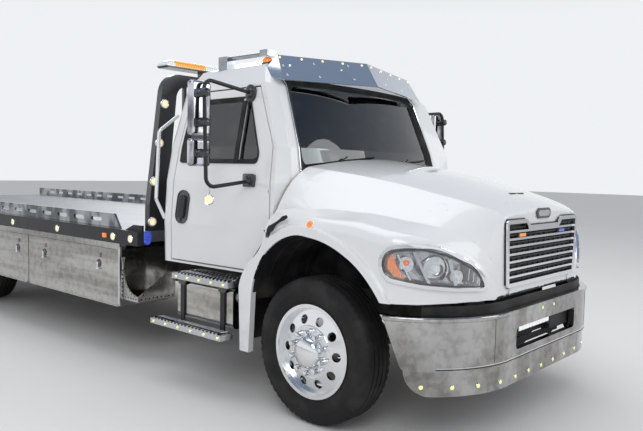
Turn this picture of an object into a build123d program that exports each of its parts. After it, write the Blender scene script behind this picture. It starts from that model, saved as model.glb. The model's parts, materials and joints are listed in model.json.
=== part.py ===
"""Flatbed tow truck: a conventional cab with a tilting hood and a sliding, tilting deck.

Lengths are in millimetres. X points forward and is zero at the front axle, Y points to the
truck's left, Z is up from the ground. The finished pieces are moved along X, so that the
origin lies on the ground under the middle of the truck's length.
"""

import os
from math import asin, atan2, cos, degrees, hypot, radians, sin

from build123d import *

# Clearances
pin_gap = 0.3
seat_gap = 0.3
door_gap = 10
run_gap = 6

# Wheels and axles
tyre_radius = 465
tyre_width = 255
rim_radius = 298
wheelbase = 5460
front_track = 2080
dual_spacing = 300
rear_dual_mid = 941
hand_holes = 10
hand_hole_radius = 29
hand_hole_circle = 205
beam_top = 470
axle_tube = 68
kingpin_y = 876
kingpin_radius = 22
spindle_radius = 38
steer_arm = 190
tie_rod_z = 300

# Chassis frame
rail_out = 432
rail_web = 10
rail_flange = 85
rail_bottom = 610
rail_top = 860
frame_front = 800
cab_mounts = (-1450, -720)
overhang = 1220
frame_rear = -wheelbase - overhang
guard_rear = frame_rear - 110
cross_members = (745, -1500, -2600, -3700, -wheelbase + 810, -wheelbase - 540, frame_rear + 50)

# Cab
cab_rear = -1600
cab_floor_z = 880
cab_corner = 90
wall = 50
glass_thick = 6
glass_inset = 22

# Hood
hood_low = 860
nose_x = 965
hood_skin = 16
lip_high = 9
lip_wide = 62
grille_rim = 26
lamp_wall = 4
lamp_rim = 10
lamp_deep = 95
hood_pivot_x = 850
hood_pivot_z = 500
fender_y = 1190
leg_inner_y = 1146
arm_y = rail_out + run_gap
arm_thick = 14
hood_pin = 14

# Front bumper
bumper_x = 1035
bumper_top = 790
bumper_low = 483
valance_low = 338
bumper_plate = 10
bead = 6
bracket_z = (690, 745)

# Deck and tilt frame
deck_front = -1735
deck_rear = frame_rear - 1670
deck_z = 1090
deck_floor = 7
side_rail_y = 1260
side_rail_low = 975
side_rail_width = 60
sideboard_top = 1207
sill_y = 340
sill_width = 80
tilt_low = rail_top + run_gap
tilt_high = 936
tilt_front = -1850
pad = 5.7
sill_low = tilt_high + pad + seat_gap
cross_low = 1000
hinge_x = frame_rear + 120
hinge_z = (tilt_low + tilt_high) / 2
headboard_thick = 60

# Tilt cylinders
cylinder_y = 250
barrel_foot = (-wheelbase - 440, 640)
rod_eye = (-wheelbase + 460, 885)
eye_play = 7.5
lug_pin = 14

# Toolboxes
box_y = 1228
box_depth = 470
box_low = 456
box_high = 920
box_wall = 12
box_front = -2030
box_rear = -wheelbase + tyre_radius + 235
box_split = box_front - 1590
box_ear = 12
box_pin = 3
guard_x = -1813
guard_y = 1200
guard_z = 515

# Mirrors
mirror_back = -785
mirror_front = -730
mirror_heads = ((1605, 1784), (1805, 2158))
mirror_clamps = (1690, 1890, 2080)

# Steps and tanks
tank_front = -700
tank_rear = -1320
tank_low = 485
tank_top = 772
flap_gap = 125

middle_x = (bumper_x + deck_rear) / 2


def box(x0, x1, y0, y1, z0, z1):
    """Block between two corners."""
    size = Box(abs(x1 - x0), abs(y1 - y0), abs(z1 - z0))
    return Pos((x0 + x1) / 2, (y0 + y1) / 2, (z0 + z1) / 2) * size


def place(axis, u, v, w):
    """Point with u and v in the drawing's plane and w along its axis."""
    return {"x": (w, u, v), "y": (u, w, v), "z": (u, v, w)}[axis]


def outline(axis, w, start, *moves):
    """Closed face at w along the axis. A move is a point, or two for an arc through the first."""
    here = start
    edges = []
    for move in (*moves, start):
        if isinstance(move[0], tuple):
            through, end = move
            points = [place(axis, *point, w) for point in (here, through, end)]
            edges.append(ThreePointArc(*points))
            here = move[1]
        elif move != here:
            edges.append(Line(place(axis, *here, w), place(axis, *move, w)))
            here = move
    return Face(Wire(edges))


def slab(axis, low, high, start, *moves):
    """Outline pulled straight along the axis from low to high."""
    return extrude(outline(axis, low, start, *moves), amount=high - low, dir=place(axis, 0, 0, 1))


def rod(axis, low, high, u, v, radius):
    """Cylinder along an axis."""
    face = Face(Wire(Edge.make_circle(radius, Plane(place(axis, u, v, low), z_dir=place(axis, 0, 0, 1)))))
    return extrude(face, amount=high - low, dir=place(axis, 0, 0, 1))


def both(shape):
    """The shape and its mirror image on the other side of the truck."""
    return Compound(children=[*shape.solids(), *mirror(shape, about=Plane.XZ).solids()])


def flip(shape):
    return mirror(shape, about=Plane.XZ)


def turned(profile):
    """Ring or disc about the Y axis from points of radius and y."""
    face = outline("z", 0, *profile)
    return revolve(face, axis=Axis.Y)


def even(first, last, count):
    """Places at an even pitch, both ends included."""
    return [first + (last - first) * index / (count - 1) for index in range(count)]


def save(node, shape):
    moved = Pos(-middle_x, 0, 0) * Compound(children=list(shape.solids()))
    export_step(moved, f"parts/{node}.step")
    print(node, len(moved.solids()))


# Wheels


def tyre():
    """Tyre about Y, centred on its own middle plane."""
    half = tyre_width / 2
    tread = half - 28
    bead = rim_radius - 8
    return turned([
        (bead, -half + 22),
        (rim_radius + 2, -half + 22),
        ((bead + 75, -half), (tyre_radius - 35, -half + 8)),
        (tyre_radius - 8, -tread),
        (tyre_radius, -tread + 30),
        (tyre_radius, tread - 30),
        (tyre_radius - 8, tread),
        (tyre_radius - 35, half - 8),
        ((bead + 75, half), (rim_radius + 2, half - 22)),
        (bead, half - 22),
    ])


def rim_barrel():
    """Rim without its disc, with flanges outside the tyre's beads."""
    half = tyre_width / 2 - 22
    bead = rim_radius - 8 - seat_gap
    return turned([
        (bead - 14, -half - 12),
        (rim_radius, -half - 12),
        (rim_radius, -half - seat_gap),
        (bead, -half - seat_gap),
        (bead, half + seat_gap),
        (rim_radius, half + seat_gap),
        (rim_radius, half + 12),
        (bead - 14, half + 12),
        (bead - 20, half - 20),
        (bead - 44, 0),
        (bead - 20, -half + 20),
    ])


def rim_disc(seat, edge, bore):
    """Dished disc from the hub's face at y = seat to the rim's inside at y = edge."""
    thick = 18
    join = rim_radius - 22
    disc = turned([
        (bore, seat - thick),
        (158, seat - thick),
        (join, edge - thick),
        (join, edge),
        (168, seat),
        (bore, seat),
    ])
    inner, outer = min(seat, edge) - 2 * thick, max(seat, edge) + thick
    hole = rod("y", inner, outer, hand_hole_circle, 0, hand_hole_radius)
    for index in range(hand_holes):
        disc -= Rot(0, index * 360 / hand_holes, 0) * hole
    return disc


def front_hub():
    """Hub on the spindle, with its flange, wheel nuts and pointed cap. y is 0 in the wheel's middle."""
    hub = turned([
        (spindle_radius + pin_gap, -60),
        (95, -60),
        (95, 70),
        (140, 82),
        (140, 96),
        (100, 96),
        (100, 118),
        (88, 150),
        (60, 176),
        (0, 186),
        (0, 100),
        (spindle_radius + pin_gap, 100),
    ])
    return hub


def front_wheel():
    """Tyre and rim with hub, on the left side of the truck."""
    centre = front_track / 2
    rim = rim_barrel() + rim_disc(114, 82, 101)
    nut = rod("y", 114, 150, 128, 0, 17)
    for index in range(hand_holes):
        rim += Rot(0, (index + 0.5) * 360 / hand_holes, 0) * nut
    rim += front_hub()
    place_at = Pos(0, centre, tyre_radius)
    return place_at * tyre(), place_at * rim


def rear_wheels():
    """Twin tyres, and twin rims joined at their discs, on the left side."""
    half = dual_spacing / 2
    at = Pos(-wheelbase, rear_dual_mid, tyre_radius)
    outer, inner = Pos(0, half, 0), Pos(0, -half, 0)
    tyres = Compound(children=[*(at * outer * tyre()).solids(), *(at * inner * tyre()).solids()])
    disc_out = outer * rim_barrel() + rim_disc(18, 60, 101)
    disc_in = flip(disc_out)
    rims = disc_out + disc_in
    nut = rod("y", 18, 52, 128, 0, 17)
    for index in range(hand_holes):
        rims += Rot(0, (index + 0.5) * 360 / hand_holes, 0) * nut
    hub = turned([
        (spindle_radius + 14 + pin_gap, -160),
        (101, -160),
        (101, 70),
        (88, 110),
        (70, 116),
        (70, 150),
        (0, 156),
        (0, 90),
        (spindle_radius + 14 + pin_gap, 90),
    ])
    return tyres, at * (rims + hub)


# Axles and steering


def front_axle():
    """I-beam with a drop between the springs and a bored boss at each kingpin."""
    beam = slab(
        "x", -45, 45, (-kingpin_y, 430), (-640, 430), (-560, 380), (560, 380), (640, 430), (kingpin_y, 430),
        (kingpin_y, 510), (600, 510), (500, beam_top), (-500, beam_top), (-600, 510), (-kingpin_y, 510))
    for side in (-1, 1):
        for face in (-1, 1):
            beam -= box(face * 14, face * 60, side * 500, side * 20, 400, 450)
        beam += rod("z", 415, 525, 0, side * kingpin_y, 48)
        beam -= rod("z", 400, 540, 0, side * kingpin_y, kingpin_radius + pin_gap)
        beam -= box(-60, 60, side * (kingpin_y + 60), side * (kingpin_y + 200), 300, 700)
    return beam


def knuckle():
    """Left knuckle: fork round the axle's boss, kingpin, spindle and steering arm."""
    body = box(-40, 40, kingpin_y + 56, kingpin_y + 100, 365, 575)
    for low, high in ((365, 415 - run_gap), (525 + run_gap, 575)):
        body += box(-40, 40, kingpin_y - 30, kingpin_y + 60, low, high)
        body += rod("z", low, high, 0, kingpin_y, 40)
    body += rod("z", 366, 574, 0, kingpin_y, kingpin_radius)
    body += rod("y", kingpin_y + 90, front_track / 2 + 88, 0, tyre_radius, spindle_radius)
    arm_top = 400
    body += box(-steer_arm - 26, -30, kingpin_y - 26, kingpin_y + 26, arm_top - 32, arm_top)
    body += rod("z", tie_rod_z - 24, arm_top - 10, -steer_arm, kingpin_y, 12)
    return body


def tie_rod():
    """Bar across behind the axle with an eye at each end."""
    bar = rod("y", -kingpin_y + 25, kingpin_y - 25, -steer_arm, tie_rod_z, 17)
    for side in (-1, 1):
        bar += rod("z", tie_rod_z - 22, tie_rod_z + 22, -steer_arm, side * kingpin_y, 30)
        bar -= rod("z", tie_rod_z - 40, tie_rod_z + 40, -steer_arm, side * kingpin_y, 12 + pin_gap)
    return bar


def rear_axle():
    """Housing with the differential's bowl, and the stubs that the hubs turn on."""
    at_x = -wheelbase
    end = rear_dual_mid + 86
    axle = rod("y", -760, 760, at_x, tyre_radius, axle_tube)
    axle += rod("y", -end, end, at_x, tyre_radius, spindle_radius + 14)
    bowl = Pos(at_x, 0, tyre_radius) * Sphere(190)
    axle += bowl & box(at_x - 190, at_x + 190, -150, 150, 200, 800)
    axle += rod("x", at_x + 100, at_x + 300, 0, tyre_radius + 10, 70)
    return axle


def leaf_spring(x, half, low, rail_y, hanger_top):
    """Three-leaf pack on its axle seat, hung from the rail at both ends."""
    top = rail_bottom - 40
    leaves = slab(
        "y", rail_y - 40, rail_y + 40, (x - half, top), ((x, low), (x + half, top)), (x + half, top + 14),
        ((x, low + 44), (x - half, top + 14)))
    for end in (-1, 1):
        hanger_x = x + end * half
        leaves += box(hanger_x - 25, hanger_x + 25, rail_y - 40, rail_y + 30, top - 10, hanger_top)
    return leaves


def leaf_springs():
    front = leaf_spring(0, 640, beam_top, rail_out - 45, rail_bottom)
    rear = leaf_spring(-wheelbase, 700, tyre_radius + axle_tube, rail_out + 40, rail_bottom + 110)
    front -= box(-100, 100, 300, 500, 400, beam_top)
    rear -= rod("y", 300, 600, -wheelbase, tyre_radius, axle_tube)
    return Compound(children=[*both(front).solids(), *both(rear).solids()])


# Frame


def frame_rails():
    """Two channel rails joined by cross members, with hinge ears and the rear guard."""
    channel = box(frame_rear, frame_front, rail_out - rail_flange, rail_out, rail_bottom, rail_top)
    channel -= box(frame_rear - 1, frame_front + 1, 0, rail_out - rail_web, rail_bottom + rail_web,
                   rail_top - rail_web)
    frame = channel + flip(channel)
    reach = rail_out - rail_web
    for x in cross_members:
        frame += box(x - 30, x + 30, -reach, reach, rail_bottom + 70, rail_top - 80)
    ear_y = sill_y + sill_width / 2 + run_gap
    for side in (-1, 1):
        for x in cab_mounts:
            inner = side * (rail_out - 80)
            frame += box(x - 50, x + 50, inner, side * rail_out, rail_top, cab_floor_z - seat_gap)
        ear = slab("y", ear_y, ear_y + 18, (hinge_x - 45, rail_top - 5), (hinge_x - 28, hinge_z + 28),
                   (hinge_x + 28, hinge_z + 28), (hinge_x + 45, rail_top - 5))
        pin = rod("y", sill_y - sill_width / 2 - 10, ear_y + 9, hinge_x, hinge_z, 20)
        pivot_ear = slab("y", rail_out - 20, rail_out, (frame_front - 80, rail_bottom + 60),
                         (hood_pivot_x - 25, hood_pivot_z - 28), (hood_pivot_x + 28, hood_pivot_z - 28),
                         (hood_pivot_x + 28, hood_pivot_z + 28), (frame_front - 10, rail_bottom + 100))
        pivot_ear += rod("y", rail_out - 20, arm_y + arm_thick, hood_pivot_x, hood_pivot_z, hood_pin)
        foot = rod("y", cylinder_y - 60, cylinder_y + 60, *barrel_foot, lug_pin)
        for y in (cylinder_y - 60, cylinder_y + 44):
            foot += slab("y", y, y + 16, (barrel_foot[0] - 100, 682), (barrel_foot[0] - 100, 760),
                         (barrel_foot[0] - 70, 760), (barrel_foot[0] + 24, 665),
                         (barrel_foot[0] + 24, 615), (barrel_foot[0] - 24, 612))
        guard = box(guard_rear, guard_rear + 60, 250, 310, 420, 700)
        guard += box(guard_rear, frame_rear + 20, 250, 310, 640, 700)
        guard += box(frame_rear - 20, frame_rear + 20, 250, rail_out - rail_web, 640, 700)
        for piece in (ear, pin, pivot_ear, foot, guard):
            frame += piece if side > 0 else flip(piece)
    frame += box(guard_rear, guard_rear + 60, -1050, 1050, 400, 480)
    return frame


def driveline():
    """Engine and gearbox as plain blocks, with the shaft to the rear axle."""
    block = box(-330, 520, -300, 300, 560, 1340)
    block += box(-1180, -330, -220, 220, 580, 960)
    shaft_front = -1180
    shaft_rear = -wheelbase + 300
    block += rod("x", shaft_rear + seat_gap, shaft_front, 0, tyre_radius + 10, 52)
    block += box(-1260, -1180, -70, 70, 400, 700)
    return block - box(-60, 60, -300, 300, 300, 560)


def radiator():
    return box(625, 715 - seat_gap, -336, 336, 600, 1270)


def front_bumper():
    """Three-part wrapped bumper with a centre opening and the valance under it."""

    def wrapped(back, low, high):
        side_y = fender_y - back
        return slab("z", low, high, (bumper_x - back, 0), (bumper_x - back, 560),
                    ((925 - back, 905 - 0.3 * back), (570, side_y)), (500, side_y), (500, 0))

    def shell(back, low, high):
        return wrapped(back, low, high) - wrapped(back + bumper_plate, low - 1, high + 1)

    bead_low = bumper_top - 30
    main = shell(bead, bumper_low, bead_low + 10)
    roll = wrapped(0, bead_low, bumper_top)
    front_edges = [edge for edge in roll.edges() if edge.center().X > 520 and edge.center().Y > 1
                   and abs(edge.center().Z - bead_low - 15) > 14]
    main += fillet(front_edges, 11) - wrapped(46, bead_low - 1, bumper_top + 1)
    main -= slab("y", 900, 1300, (400, 900), (566, bumper_top + 1), (660, 520),
                 ((672, 494), (700, bumper_low - 1)), (400, 300))
    valance = shell(bead + bumper_plate, valance_low, bumper_low + 12)
    valance -= slab("y", 600, 1300, (400, 900), (676, 600), (676, 495), ((705, 395), (790, valance_low - 1)),
                    (400, 300))
    half = main + valance
    bumper = half + flip(half) - bumper_window(0)
    flange = bumper_window(8) - bumper_window(0)
    bumper += flange & box(bumper_x - 45, bumper_x - bead - 1, -600, 600, 400, 800)
    for side in (-1, 1):
        bumper += box(frame_front + seat_gap, bumper_x - 35, side * 376, side * rail_out, *bracket_z)
        bumper += box(bumper_x - 45, bumper_x - 15, side * 376, side * rail_out, *bracket_z)
    return bumper


def bumper_window(grow):
    """Rounded opening in the middle of the bumper, as a solid to cut with."""
    window = box(900, 1100, -450 - grow, 450 + grow, 545 - grow, 680 + grow)
    return fillet(window.edges().filter_by(Axis.X), 28 + grow)


def tank_and_steps():
    """Right and left fuel tanks, and the two treads with their hangers on each side."""
    tank = box(tank_rear, tank_front, 560, 1180, tank_low, tank_top)
    tank = fillet(tank.edges().filter_by(Axis.X), 40)
    for x in (tank_rear + 100, tank_front - 120):
        tank += box(x - 30, x + 30, rail_out + seat_gap, 600, 620, 740)
    treads = []
    for x0, x1, y0, y1, z in ((-1314, -690, 960, 1240, 820), (-1496, -690, 1190, 1300, 465)):
        tread = box(x0, x1, y0, y1, z - 40, z)
        tread -= box(x0 + 20, x1 - 20, y0 + 20, y1 - 20, z - 60, z - 8)
        treads.append(tread)
    steps = treads[0] + treads[1]
    for x in (-1250, -800):
        steps += box(x - 22, x + 22, 1180 + seat_gap, 1192, 425, 813)
        steps += box(x - 22, x + 22, 1000, 1100, tank_top + seat_gap, 813)
        steps += box(x - 22, x + 22, 1190, 1215, 425, 465)
    return both(tank), both(steps)


def toolboxes():
    """One long box a side, with two door openings and a lip along the top."""
    inner_y = box_y - box_depth
    case = box(box_rear, box_front, inner_y, box_y - 20, box_low, box_high)
    split = box_split
    for low, high in ((box_rear, split), (split, box_front)):
        case -= box(low + box_wall, high - box_wall, inner_y + box_wall, box_y + 1, box_low + box_wall,
                    box_high - box_wall)
    lip_top = side_rail_low - run_gap
    case += box(box_rear, box_front, box_y - 60, box_y + 4, box_high, lip_top)
    for x in (box_rear + 300, box_front - 300):
        case += box(x - 30, x + 30, rail_out + seat_gap, inner_y, 700, 780)
    case += box(box_front, guard_x, 840, guard_y, guard_z, guard_z + 5)
    case += slab("y", guard_y - 5, guard_y, (box_front, guard_z), (guard_x, guard_z),
                 (guard_x, guard_z + 45), ((-1960, 625), (box_front + 35, 860)), (box_front, 860))
    case += slab("x", guard_x - 5, guard_x, (840, guard_z), (guard_y, guard_z), (guard_y, guard_z + 45),
                 (900, 740), (840, 740))
    for x0, x1 in ((box_rear, split), (split, box_front)):
        for x in box_ears(x0, x1):
            ear = rod("x", x, x + box_ear, box_y, box_low, 7)
            ear += box(x, x + box_ear, box_y - 40, box_y, box_low - 7, box_low - 1)
            ear += box(x, x + box_ear, box_y - 40, box_y - 20, box_low - 7, box_low + 2)
            case += ear - rod("x", x - 1, x + box_ear + 1, box_y, box_low, box_pin + pin_gap)
    return both(case)


def box_ears(x0, x1):
    """Rear faces of the two hinge ears of the door between x0 and x1."""
    return x0 + 20, x1 - 20 - box_ear


def toolbox_door(x0, x1):
    """Drop-down door hinged along its lower edge, with two latches."""
    door = box(x0 + 6, x1 - 6, box_y - 20 + seat_gap, box_y, box_low + 4, box_high - 6)
    rear_ear, front_ear = box_ears(x0, x1)
    for x in (rear_ear, front_ear):
        door -= box(x - 1, x + box_ear + 1, box_y - 20, box_y + 1, box_low, box_low + 12)
    door += rod("x", rear_ear + box_ear + 1, front_ear - 1, box_y, box_low, 6)
    door += rod("x", rear_ear + 2, front_ear + box_ear - 2, box_y, box_low, box_pin)
    for x in (x0 + (x1 - x0) * 0.2, x1 - (x1 - x0) * 0.2):
        door += box(x - 30, x + 30, box_y, box_y + 12, 830, 870)
    return door


def mud_flaps():
    """Splash panels behind the front wheels and flaps behind the rear ones."""
    front = box(-640, -628, 600, 1120, 420, 860)
    front += box(-700 + seat_gap, -628, 600, 640, 700, 740)
    face = -wheelbase - tyre_radius - flap_gap
    rear = box(face - 12, face, 660, 1220, 250, 900)
    rear += box(face - 30, face + 10, rail_out + seat_gap, 1220, 850, 900)
    return Compound(children=[*both(front).solids(), *both(rear).solids()])


# Cab

cab_rows = (
    # z, rear x, rear half width, side front x, side half width, pillar x, pillar half width, nose x
    (cab_floor_z, cab_rear, 1140, -396, 1105, -385, 960, -310),
    (1180, cab_rear, 1148, -396, 1110, -385, 960, -305),
    (1500, cab_rear, 1128, -396, 1100, -400, 930, -285),
    (1750, cab_rear, 1080, -412, 1070, -455, 895, -355),
    (2190, -1590, 945, -606, 1000, -630, 860, -530),
    (2340, -1560, 820, -740, 870, -760, 700, -680),
    (2440, -1470, 520, -880, 560, -890, 420, -830),
)


def cab_section(row, inset, z):
    """Plan outline of the cab at one height, pulled in by inset."""
    _, rear, rear_half, side_x, side_half, pillar_x, pillar_half, nose = row
    corner = cab_corner
    x0 = rear + inset
    rh = rear_half - inset
    sh = side_half - inset
    sx = side_x - inset
    px = pillar_x - inset
    ph = pillar_half - inset / 2
    round_in = corner * 0.29
    return outline(
        "z", z, (x0, -rh + corner), (x0, rh - corner),
        ((x0 + round_in, rh - round_in), (x0 + corner, rh)), (sx, sh), (px, ph),
        ((nose - inset, 0), (px, -ph)), (sx, -sh), (x0 + corner, -rh),
        ((x0 + round_in, -rh + round_in), (x0, -rh + corner)))


def cab_body(inset):
    """Solid shape of the cab, pulled in by inset all round."""
    sections = []
    for index, row in enumerate(cab_rows):
        z = row[0]
        if index == 0:
            z += inset
        if index == len(cab_rows) - 1:
            z -= inset
        sections.append(cab_section(row, inset, z))
    return loft(sections, ruled=True)


door_hinge_x = -445
door_hinge_y = 1096
door_hinge_heights = (1250, 1450)
door_pin = 5
door_points = ((-1455, 905), (-650, 905), (-433, 1180), (-450, 1750), (-650, 2160), (-1440, 2160))
window_points = ((-1400, 1640), (-590, 1640), (-575, 1700), (-740, 2090), (-1400, 2090))


def grown(points, gap):
    """Corner points of a counter-clockwise or clockwise outline moved out by gap."""
    area = sum(a[0] * b[1] - b[0] * a[1] for a, b in zip(points, points[1:] + points[:1]))
    turn = 1 if area > 0 else -1
    moved = []
    for before, here, after in zip(points[-1:] + points[:-1], points, points[1:] + points[:1]):
        normals = []
        for start, end in ((before, here), (here, after)):
            run, rise = end[0] - start[0], end[1] - start[1]
            length = hypot(run, rise)
            normals.append((turn * rise / length, -turn * run / length))
        (ax, az), (bx, bz) = normals
        scale = gap / (1 + ax * bx + az * bz)
        moved.append((here[0] + scale * (ax + bx), here[1] + scale * (az + bz)))
    return tuple(moved)


def side_cut(points, gap, low, high):
    """Side-view shape grown all round by a gap, cut through from y = low to y = high."""
    return slab("y", low, high, *grown(points, gap))


def side_zone(depth):
    """Everything outboard of a wall as thick as depth along the cab's right side."""
    sections = []
    for z, rear, rear_half, side_x, side_half, *_ in cab_rows:
        slope = (side_half - rear_half) / (side_x - rear - cab_corner)
        ends = [(x, depth - side_half - slope * (x - side_x)) for x in (0, -2000)]
        sections.append(outline("z", z, (-2000, -1400), (0, -1400), *ends))
    return loft(sections, ruled=True)


def cab_parts():
    """Cab shell split into floor with firewall, roof, back wall and side frames."""
    outer = cab_body(0)
    shell = outer - cab_body(wall)
    corner = slab("y", -1300, 1300, (-638, 800), (-638, 893), (-414, 1168), (-300, 1168), (-300, 800))
    foot_space = slab("y", -1300, 1300, (-650 - wall, 800), (-650 - wall, 905), (-433 - wall, 1180 + wall),
                      (-300, 1180 + wall), (-300, 800))
    wheel_side = box(-900, 0, -1300, -560, 800, 1400) + box(-900, 0, 560, 1300, 800, 1400)
    shell -= corner & wheel_side
    shell += (outer & foot_space & wheel_side) - corner
    tunnel = box(-1300, 0, -260, 260, 800, 985)
    shell = shell + (outer & box(-1300, 0, -310, 310, 880, 1035)) - tunnel
    shell = shell - box(-600, 0, -320, 320, 800, 1390)
    shell += outer & box(-600, -550, -330, 330, 985, 1440)
    shell += (outer & box(-600, 0, -330, 330, 1392, 1440))
    doorway = side_cut(door_points, door_gap, -1300, 0) & side_zone(wall + run_gap)
    shell = shell - doorway - flip(doorway)
    windshield = slab("x", -900, 0, (-840, 1570), (840, 1570), (775, 2235), (-775, 2235))
    rear_window = slab("x", -1700, -1500, (-620, 1620), (620, 1620), (560, 2080), (-560, 2080))
    glass_skin = cab_body(glass_inset) - cab_body(glass_inset + glass_thick)
    glass = Compound(children=[*(glass_skin & windshield).solids(), *(glass_skin & rear_window).solids()])
    shell = shell - windshield - rear_window
    roof_z = 2175
    roof = shell & box(-2000, 0, -1300, 1300, roof_z, 2600)
    rest = shell & box(-2000, 0, -1300, 1300, 700, roof_z)
    back = rest & box(-2000, -1530, -1300, 1300, 700, roof_z)
    rest = rest & box(-1530, 0, -1300, 1300, 700, roof_z)
    front = box(-1530, 0, -1300, 1300, 700, 905 + 40) + box(-700, 0, -1040, 1040, 700, 1560)
    floor = rest & front
    sides = rest - front
    right_ears = door_hinges(0)
    swing = rod("z", 1125, 1180, door_hinge_x, -door_hinge_y, 25)
    sides = sides - swing - flip(swing) + right_ears + flip(right_ears)
    return floor, roof, back, sides, glass


def door_hinges(gap):
    """Two cranked ears with their pins on the right door post, or the room for them with a gap."""
    x, y = door_hinge_x, -door_hinge_y
    ears = []
    for z in door_hinge_heights:
        low, high = z - 8 - gap, z + 8 + gap
        if gap:
            ear = box(x - 9, x + 40, y - 8, y + 80, low, high)
            pin = rod("z", z - 32, z + 32, x, y, door_pin + pin_gap)
        else:
            ear = box(x - 5, x + 5, y, y + 36, low, high) + box(x - 5, x + 40, y + 24, y + 36, low, high)
            pin = rod("z", z - 30, z + 30, x, y, door_pin)
        ears.append(ear + pin)
    return ears[0] + ears[1]


def cab_door():
    """Right door with its window opening, and the glass in it."""
    skin = cab_body(0) - cab_body(wall)
    panel = skin & side_cut(door_points, 0, -1300, 0) & side_zone(wall)
    opening = side_cut(window_points, 0, -1300, -700)
    glass_skin = cab_body(glass_inset) - cab_body(glass_inset + glass_thick)
    glass = glass_skin & opening
    panel -= opening
    post = skin & side_cut(((-805, 1600), (-780, 1600), (-780, 2120), (-805, 2120)), 0, -1300, -700)
    post -= cab_body(glass_inset - 1)
    panel += post
    return panel - door_hinges(seat_gap), glass


def mirror_unit():
    """Right mirror: tubular arm from two brackets on the door, with a tall and a wide-view head."""
    top, foot = Vector(-701, -1450, 2170), Vector(-669, -1450, 1466)
    path = FilletPolyline((-728, -980, 2116), top, foot, (-630, -1080, 1515), radius=60)
    arm = sweep(Plane(path @ 0, z_dir=path % 0) * Circle(13), path=path)
    unit = arm - cab_body(-seat_gap)
    for low, high in mirror_heads:
        unit += fillet(box(mirror_back, mirror_front, -1525, -1360, low, high).edges(), 20)
    for z in mirror_clamps:
        arm_x = top.X + (foot.X - top.X) * (top.Z - z) / (top.Z - foot.Z)
        unit += rod("x", mirror_front - 5, arm_x + 16, -1450, z, 19)
    return unit


def seats():
    """Driver's seat and passenger bench on their boxes."""
    low = cab_floor_z + wall + seat_gap
    units = []
    for y0, y1 in ((260 + 60, 860), (-860, -320)):
        seat = box(-1400, -1040, y0, y1, low, 1180) + box(-1440, -1015, y0, y1, 1180, 1300)
        seat += slab("y", y0, y1, (-1500, 1300), (-1380, 1300), (-1420, 1950), (-1500, 1950))
        units.append(seat)
    return Compound(children=[s for u in units for s in u.solids()])


steering_centre = (-900, 560, 1430)
steering_lean = 20


def at_steering(shape):
    """Turn a shape made about Z at the origin to lie about the steering column, which runs forward."""
    return Pos(*steering_centre) * Rot(0, 90 + steering_lean, 0) * shape


def dashboard():
    board = box(-760, -545, -960, 960, 1290, 1520) & cab_body(wall + 1)
    board -= box(-600 - seat_gap, -540, -330 - seat_gap, 330 + seat_gap, 900, 1440 + seat_gap)
    column = Pos(0, 0, 118) * Cylinder(24, 200) - Pos(0, 0, 48) * Cylinder(10 + pin_gap, 62)
    return board + at_steering(column)


def steering_wheel():
    wheel = at_steering(Torus(215, 14)) + at_steering(Cylinder(50, 26))
    wheel += at_steering(Pos(0, 0, 35) * Cylinder(10, 70))
    for angle in (0, 120, 240):
        wheel += at_steering(Rot(0, 0, angle) * Pos(120, 0, 0) * Box(190, 26, 12))
    return wheel


def sun_visor():
    """Pointed polished visor in two flat panels, on the roof's front edge."""
    top_mid = Vector(-510, 0, 2434)
    low_mid = Vector(-393, 0, 2249)
    outward = Vector(-176, -830, -27)
    corners = [top_mid, top_mid + outward * 0.975, low_mid + outward * 1.03, low_mid]
    face = Face(Wire.make_polygon(corners, close=True))
    back = face.normal_at() if face.normal_at().X < 0 else -face.normal_at()
    panel = extrude(face, amount=8, dir=back)
    for along in (0.35, 0.9):
        foot = low_mid + (top_mid - low_mid) * 0.55 + outward * along
        panel += box(foot.X - 200, foot.X - 2, foot.Y - 9, foot.Y + 9, foot.Z - 14, foot.Z + 14)
    wing = Face(Wire.make_polygon([corners[1], corners[2], Vector(-745, -905, 2275)], close=True))
    inward = wing.normal_at() if wing.normal_at().Y > 0 else -wing.normal_at()
    panel += extrude(wing, amount=6, dir=inward)
    return (panel + flip(panel)) - cab_body(-seat_gap)


def air_horn():
    horn = rod("x", -1200, -830, -800, 2425, 16)
    horn += slab("x", -830, -750, (-845, 2405), (-755, 2405), (-755, 2450), (-845, 2450))
    horn += box(-1290, -1190, -840, -760, 2320, 2440)
    return horn - cab_body(-seat_gap)


def grab_handles():
    path = FilletPolyline((-1560, -1130, 1200), (-1610, -1175, 1348), (-1610, -1150, 1872),
                          (-1560, -1010, 1997), radius=40)
    tube = sweep(Plane(path @ 0, z_dir=path % 0) * Circle(14), path=path)
    return both(tube - cab_body(-seat_gap))


# Hood

front_rows = (
    # x, side y, side z, fender y, fender z, valley y, valley z, flank y, flank z, edge y, edge z, crown z
    (-470, 1190, 1180, 1140, 1270, 1095, 1330, 985, 1500, 800, 1628, 1705),
    (0, 1190, 1225, 1130, 1310, 1040, 1355, 905, 1460, 745, 1572, 1645),
    (300, 1190, 1220, 1125, 1305, 1000, 1345, 850, 1430, 705, 1525, 1592),
    (560, 1190, 1190, 1115, 1270, 935, 1310, 790, 1385, 655, 1468, 1530),
    (740, 1085, 1165, 1015, 1235, 860, 1275, 730, 1345, 610, 1425, 1482),
    (860, 880, 1095, 835, 1155, 750, 1215, 660, 1300, 573, 1390, 1442),
    (925, 735, 1000, 705, 1055, 665, 1130, 610, 1245, 548, 1363, 1412),
    (nose_x, 610, 880, 598, 930, 580, 1040, 562, 1190, 530, 1340, 1385),
)


def shoulder(y, z, end_y, end_z):
    """Middle point of the arc that leaves a wall at (y, z) upright and ends at (end_y, end_z)."""
    across, up = y - end_y, end_z - z
    radius = (across ** 2 + up ** 2) / (2 * across)
    half = asin(min(1, up / radius)) / 2
    return y - radius * (1 - cos(half)), z + radius * sin(half)


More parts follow.
